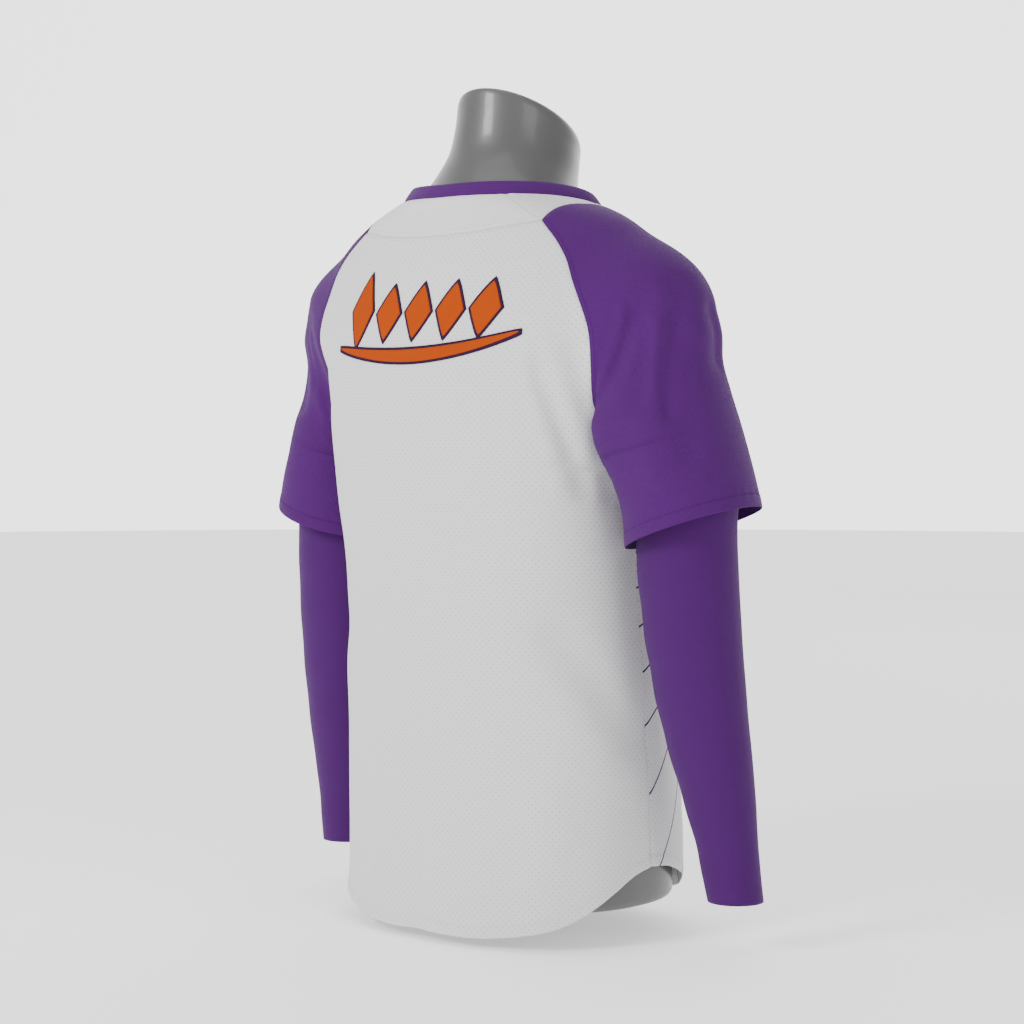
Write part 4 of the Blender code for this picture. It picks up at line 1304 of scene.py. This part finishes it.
def make_undersleeves():
    made = {}
    for side, word in ((1, "left"), (-1, "right")):
        rings = undersleeve_rings(side)
        normals = ring_normals(rings)
        around = np.linalg.norm(rings - np.roll(rings, 1, axis=1), axis=-1)
        u = np.cumsum(around, axis=1)
        v = lengths(rings, 0)
        outer = rings + normals * groove(v - CUFF_STITCH, 0.0011, 0.0005)[..., None]
        uv = np.stack([u, v], -1)
        piece = add_shell("long_sleeve_" + word, outer, normals, CLOTH, KNIT, uv, ring=True)
        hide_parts("undersleeve_" + word)
        path, ups = beside_row(outer, normals, CUFF_STITCH)
        path = np.concatenate([path, path[:1]])
        ups = np.concatenate([ups, ups[:1]])
        stitches = stitch_line("cuff_stitch_" + word, path, ups, PURPLE_THREAD)
        made[word] = (piece, stitches, float(u[len(u) // 2, -1]), float(v[-1, 0]))
    return made


def make_form():
    """The dress form as one smooth moulding."""
    turn = full_turn(FORM_COLUMNS)
    forward = (1 - np.cos(turn)) / 2
    foot = FOOT_RADIUS * heading(turn)
    rings = [foot * (0.985, 0.985, 1.0), foot + (0, 0, 0.001), foot + (0, 0, FORM_BASE_Z - 0.0005)]
    at_edge = [0.0, 0.0005, 0.001, 0.002, 0.0035, 0.0055, 0.008]
    rises = np.concatenate([at_edge, np.linspace(0.014, 0.678, 80)])
    for rise in rises:
        level = FORM_BASE_Z + rise
        drop = FORM_DROP * smooth_step((level - FORM_DROP_FROM) / (FORM_TOP_Z - FORM_DROP_FROM))
        z = level - drop * forward ** FORM_NECK.at("late", 0)
        edge = FORM_EDGE * (1 - math.sqrt(1 - max(0.0, 1 - rise / FORM_EDGE) ** 2))
        sink = smooth_step((0.70 - z) / 0.20)
        shrink = 0.0013 + FORM_SHRINK_TOP + FORM_SHRINK_LOW * sink + edge
        above = z + FORM_LOWER_BY * (1 - sink)
        power = TORSO.at("power", above)
        half_x = TORSO.at("half_x", above) - shrink
        half_y = TORSO.at("half_y", above) - shrink
        across = np.sign(np.sin(turn)) * np.abs(np.sin(turn)) ** (2 / power)
        deep = np.sign(np.cos(turn)) * np.abs(np.cos(turn)) ** (2 / power)
        rings.append(np.stack([half_x * across, TORSO.at("centre_y", above) + half_y * deep, z], -1))
    for row in np.linspace(0, 7, 57):
        x = FORM_NECK.at("half_x", row) * np.sin(turn)
        y = FORM_NECK.at("half_y", row) * np.cos(turn) + FORM_NECK.at("centre_y", row)
        z = FORM_NECK.at("z", row) - FORM_NECK.at("drop", row) * forward ** FORM_NECK.at("late", row)
        rings.append(np.stack([x, y, z], -1))
    top = rings[-1]
    centre = top.mean(axis=0)
    for share in (0.8, 0.6, 0.4, 0.2):
        rings.append(centre + (top - centre) * share)
    faces = capped_faces(len(rings), FORM_COLUMNS, -1)
    piece = add_mesh("smooth_form", np.array(rings), faces, GLOSS, crisp=60)
    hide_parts("dress_form")


# The place of the lettering: a plain crest of the same colours and width


CREST_COUNT = 5
CREST_FIRST_X = 0.073
CREST_PITCH = 0.0400
CREST_HALF_WIDTH = 0.0160
CREST_LEAN = 0.20
CREST_MIDDLE_Z = 0.6035
CREST_FIRST_HALF, CREST_HALF = 0.034, 0.025
CREST_EDGE, TAIL_EDGE = 0.0030, 0.0028
EDGE_LIFT, TWILL_LIFT = 0.0007, 0.0012
BACK_BEND = 0.150


def on_back(across, height, lift):
    """Points on the back at metres from its middle and a height, raised off the cloth."""
    points = place(np.degrees(across / BACK_BEND), height)
    for _ in range(3):
        scale = across / np.where(np.abs(points[..., 0]) < 1e-4, 1.0, points[..., 0])
        scale = np.where(np.abs(points[..., 0]) < 1e-4, 1.0, np.clip(scale, 0.7, 1.4))
        points = place(angle_of(points) * scale, height)
    return points + normals_on(points, body_skin) * lift


def add_patch(name, across, height, lift, material):
    """A thin raised patch on the back from a grid of places."""
    outer = on_back(across, height, lift)
    normals = normals_on(outer, body_skin)
    uv = np.stack([across, height], -1)
    return add_shell(name, outer, normals, lift - 0.00015, material, uv)


def diamond(middle_x, middle_z, half_x, half_z, lean, grow):
    """Places in a leaning diamond with soft sides, in rows across it."""
    t = np.linspace(-1, 1, 41)
    s = np.linspace(-1, 1, 13)
    width = (1 - np.abs(t)) ** 0.85
    across = np.outer(s, width) * (half_x + grow)
    up = np.broadcast_to(t * (half_z + 1.5 * grow), across.shape)
    return middle_x + across - lean * up, middle_z + up


def swash(grow):
    """Places in the long tail under the strokes, thick in its middle and fine at both ends."""
    t = np.linspace(0, 1, 141)
    s = np.linspace(-1, 1, 9)
    x = 0.106 + grow - (0.228 + 2 * grow) * t
    middle = 0.562 + 0.010 * (2 * t - 1) ** 2 + 0.012 * t**3
    half = 0.0058 * np.sin(math.pi * t) ** 0.6 + 0.0002 + grow * 0.9
    across = np.broadcast_to(x, (len(s), len(t)))
    return across, middle + np.outer(s, half)


def make_crest():
    made = []
    for number in range(CREST_COUNT):
        high = CREST_HALF if number else CREST_FIRST_HALF
        middle_z = CREST_MIDDLE_Z + 0.5 * (high - CREST_HALF) + 0.0008 * number
        places = (CREST_FIRST_X - CREST_PITCH * number, middle_z, CREST_HALF_WIDTH, high, CREST_LEAN)
        edge, twill = diamond(*places, CREST_EDGE), diamond(*places, 0.0)
        made.append(add_patch(f"crest_diamond_edge_{number + 1}", *edge, EDGE_LIFT, PLUM))
        made.append(add_patch(f"crest_diamond_{number + 1}", *twill, TWILL_LIFT, ORANGE))
    made.append(add_patch("crest_tail_edge", *swash(TAIL_EDGE), EDGE_LIFT, PLUM))
    made.append(add_patch("crest_tail", *swash(0.0), TWILL_LIFT, ORANGE))
    return made


# Stage


def make_stage():
    mesh = bpy.data.meshes.new("floor")
    turn = full_turn(FLOOR_SIDES)
    rim = FLOOR_RADIUS * np.stack([np.cos(turn), np.sin(turn), 0 * turn], -1)
    mesh.from_pydata(rim.tolist(), [], [list(range(FLOOR_SIDES))])
    material, tree, shader = new_material("pale_floor")
    where = tree.nodes.new("ShaderNodeTexCoord").outputs["Object"]
    pale = mix_colour(tree, noise(tree, where, 1.5), (0.93, 0.93, 0.93), (0.92, 0.92, 0.92))
    tree.links.new(pale, shader.inputs["Base Color"])
    shader.inputs["Roughness"].default_value = 0.9
    shader.inputs["Emission Color"].default_value = (1.0, 1.0, 1.0, 1.0)
    split = tree.nodes.new("ShaderNodeSeparateXYZ")
    tree.links.new(where, split.inputs[0])
    square = math_node(tree, "MULTIPLY", split.outputs["Y"], split.outputs["Y"])
    square = math_node(tree, "MULTIPLY_ADD", split.outputs["X"], split.outputs["X"], square)
    away = math_node(tree, "SQRT", square)
    away = math_node(tree, "MULTIPLY_ADD", away, 0.20, -0.16, clamp=True)
    tree.links.new(math_node(tree, "MULTIPLY_ADD", away, 0.40, 0.57), shader.inputs["Emission Strength"])
    mesh.materials.append(material)
    floor = add_object("floor", mesh)

    world = bpy.data.worlds.new("studio")
    world.use_nodes = True
    tree = world.node_tree
    split = tree.nodes.new("ShaderNodeSeparateXYZ")
    tree.links.new(tree.nodes.new("ShaderNodeTexCoord").outputs["Generated"], split.inputs[0])
    behind = math_node(tree, "MULTIPLY", split.outputs["X"], 0.52)
    behind = math_node(tree, "MULTIPLY_ADD", split.outputs["Y"], -0.60, behind)
    behind = math_node(tree, "MULTIPLY_ADD", behind, 1.8, -0.45, clamp=True)
    strength = math_node(tree, "MULTIPLY_ADD", behind, 2.4, 0.58)
    tree.links.new(strength, tree.nodes["Background"].inputs["Strength"])
    tree.nodes["Background"].inputs["Color"].default_value = (1.0, 1.0, 1.0, 1.0)
    bpy.context.scene.world = world

    lights = (
        # name, place, size, power
        ("key", (0.5, 3.3, 2.2), 1.1, 105.0),
        ("side", (-3.2, 0.9, 1.6), 1.4, 22.0),
        ("front", (0.6, -3.4, 2.2), 2.6, 24.0),
        ("top", (0.0, 0.2, 3.6), 2.4, 30.0),
    )
    for name, spot, size, power in lights:
        light = bpy.data.lights.new(name, "AREA")
        light.energy = power
        light.size = size
        lamp = add_object(name, light)
        lamp.location = spot
        lamp.rotation_euler = direction_euler(LIGHT_AIM - np.array(spot))


def direction_euler(aim):
    """Rotation that points an object's -Z along aim, with no roll."""
    flat = math.hypot(aim[0], aim[1])
    return (math.atan2(flat, -aim[2]), 0.0, math.atan2(aim[1], aim[0]) - math.pi / 2)


def make_camera():
    camera = bpy.data.cameras.new("camera")
    camera.lens = CAMERA_LENS
    camera.sensor_width = 36.0
    camera.sensor_fit = "HORIZONTAL"
    camera.clip_start = 0.05
    viewer = add_object("camera", camera)
    viewer.location = CAMERA_AT
    viewer.rotation_euler = direction_euler(CAMERA_AIM - np.array(viewer.location))
    bpy.context.scene.camera = viewer


def main():
    make_camera()
    make_stage()
    make_form()
    pieces = make_body()
    replace_nodes()
    stitches = stitch_panels(pieces)
    band = make_neckband()
    placket = make_placket()
    make_buttons()
    undersleeves = make_undersleeves()
    crest = make_crest()


main()
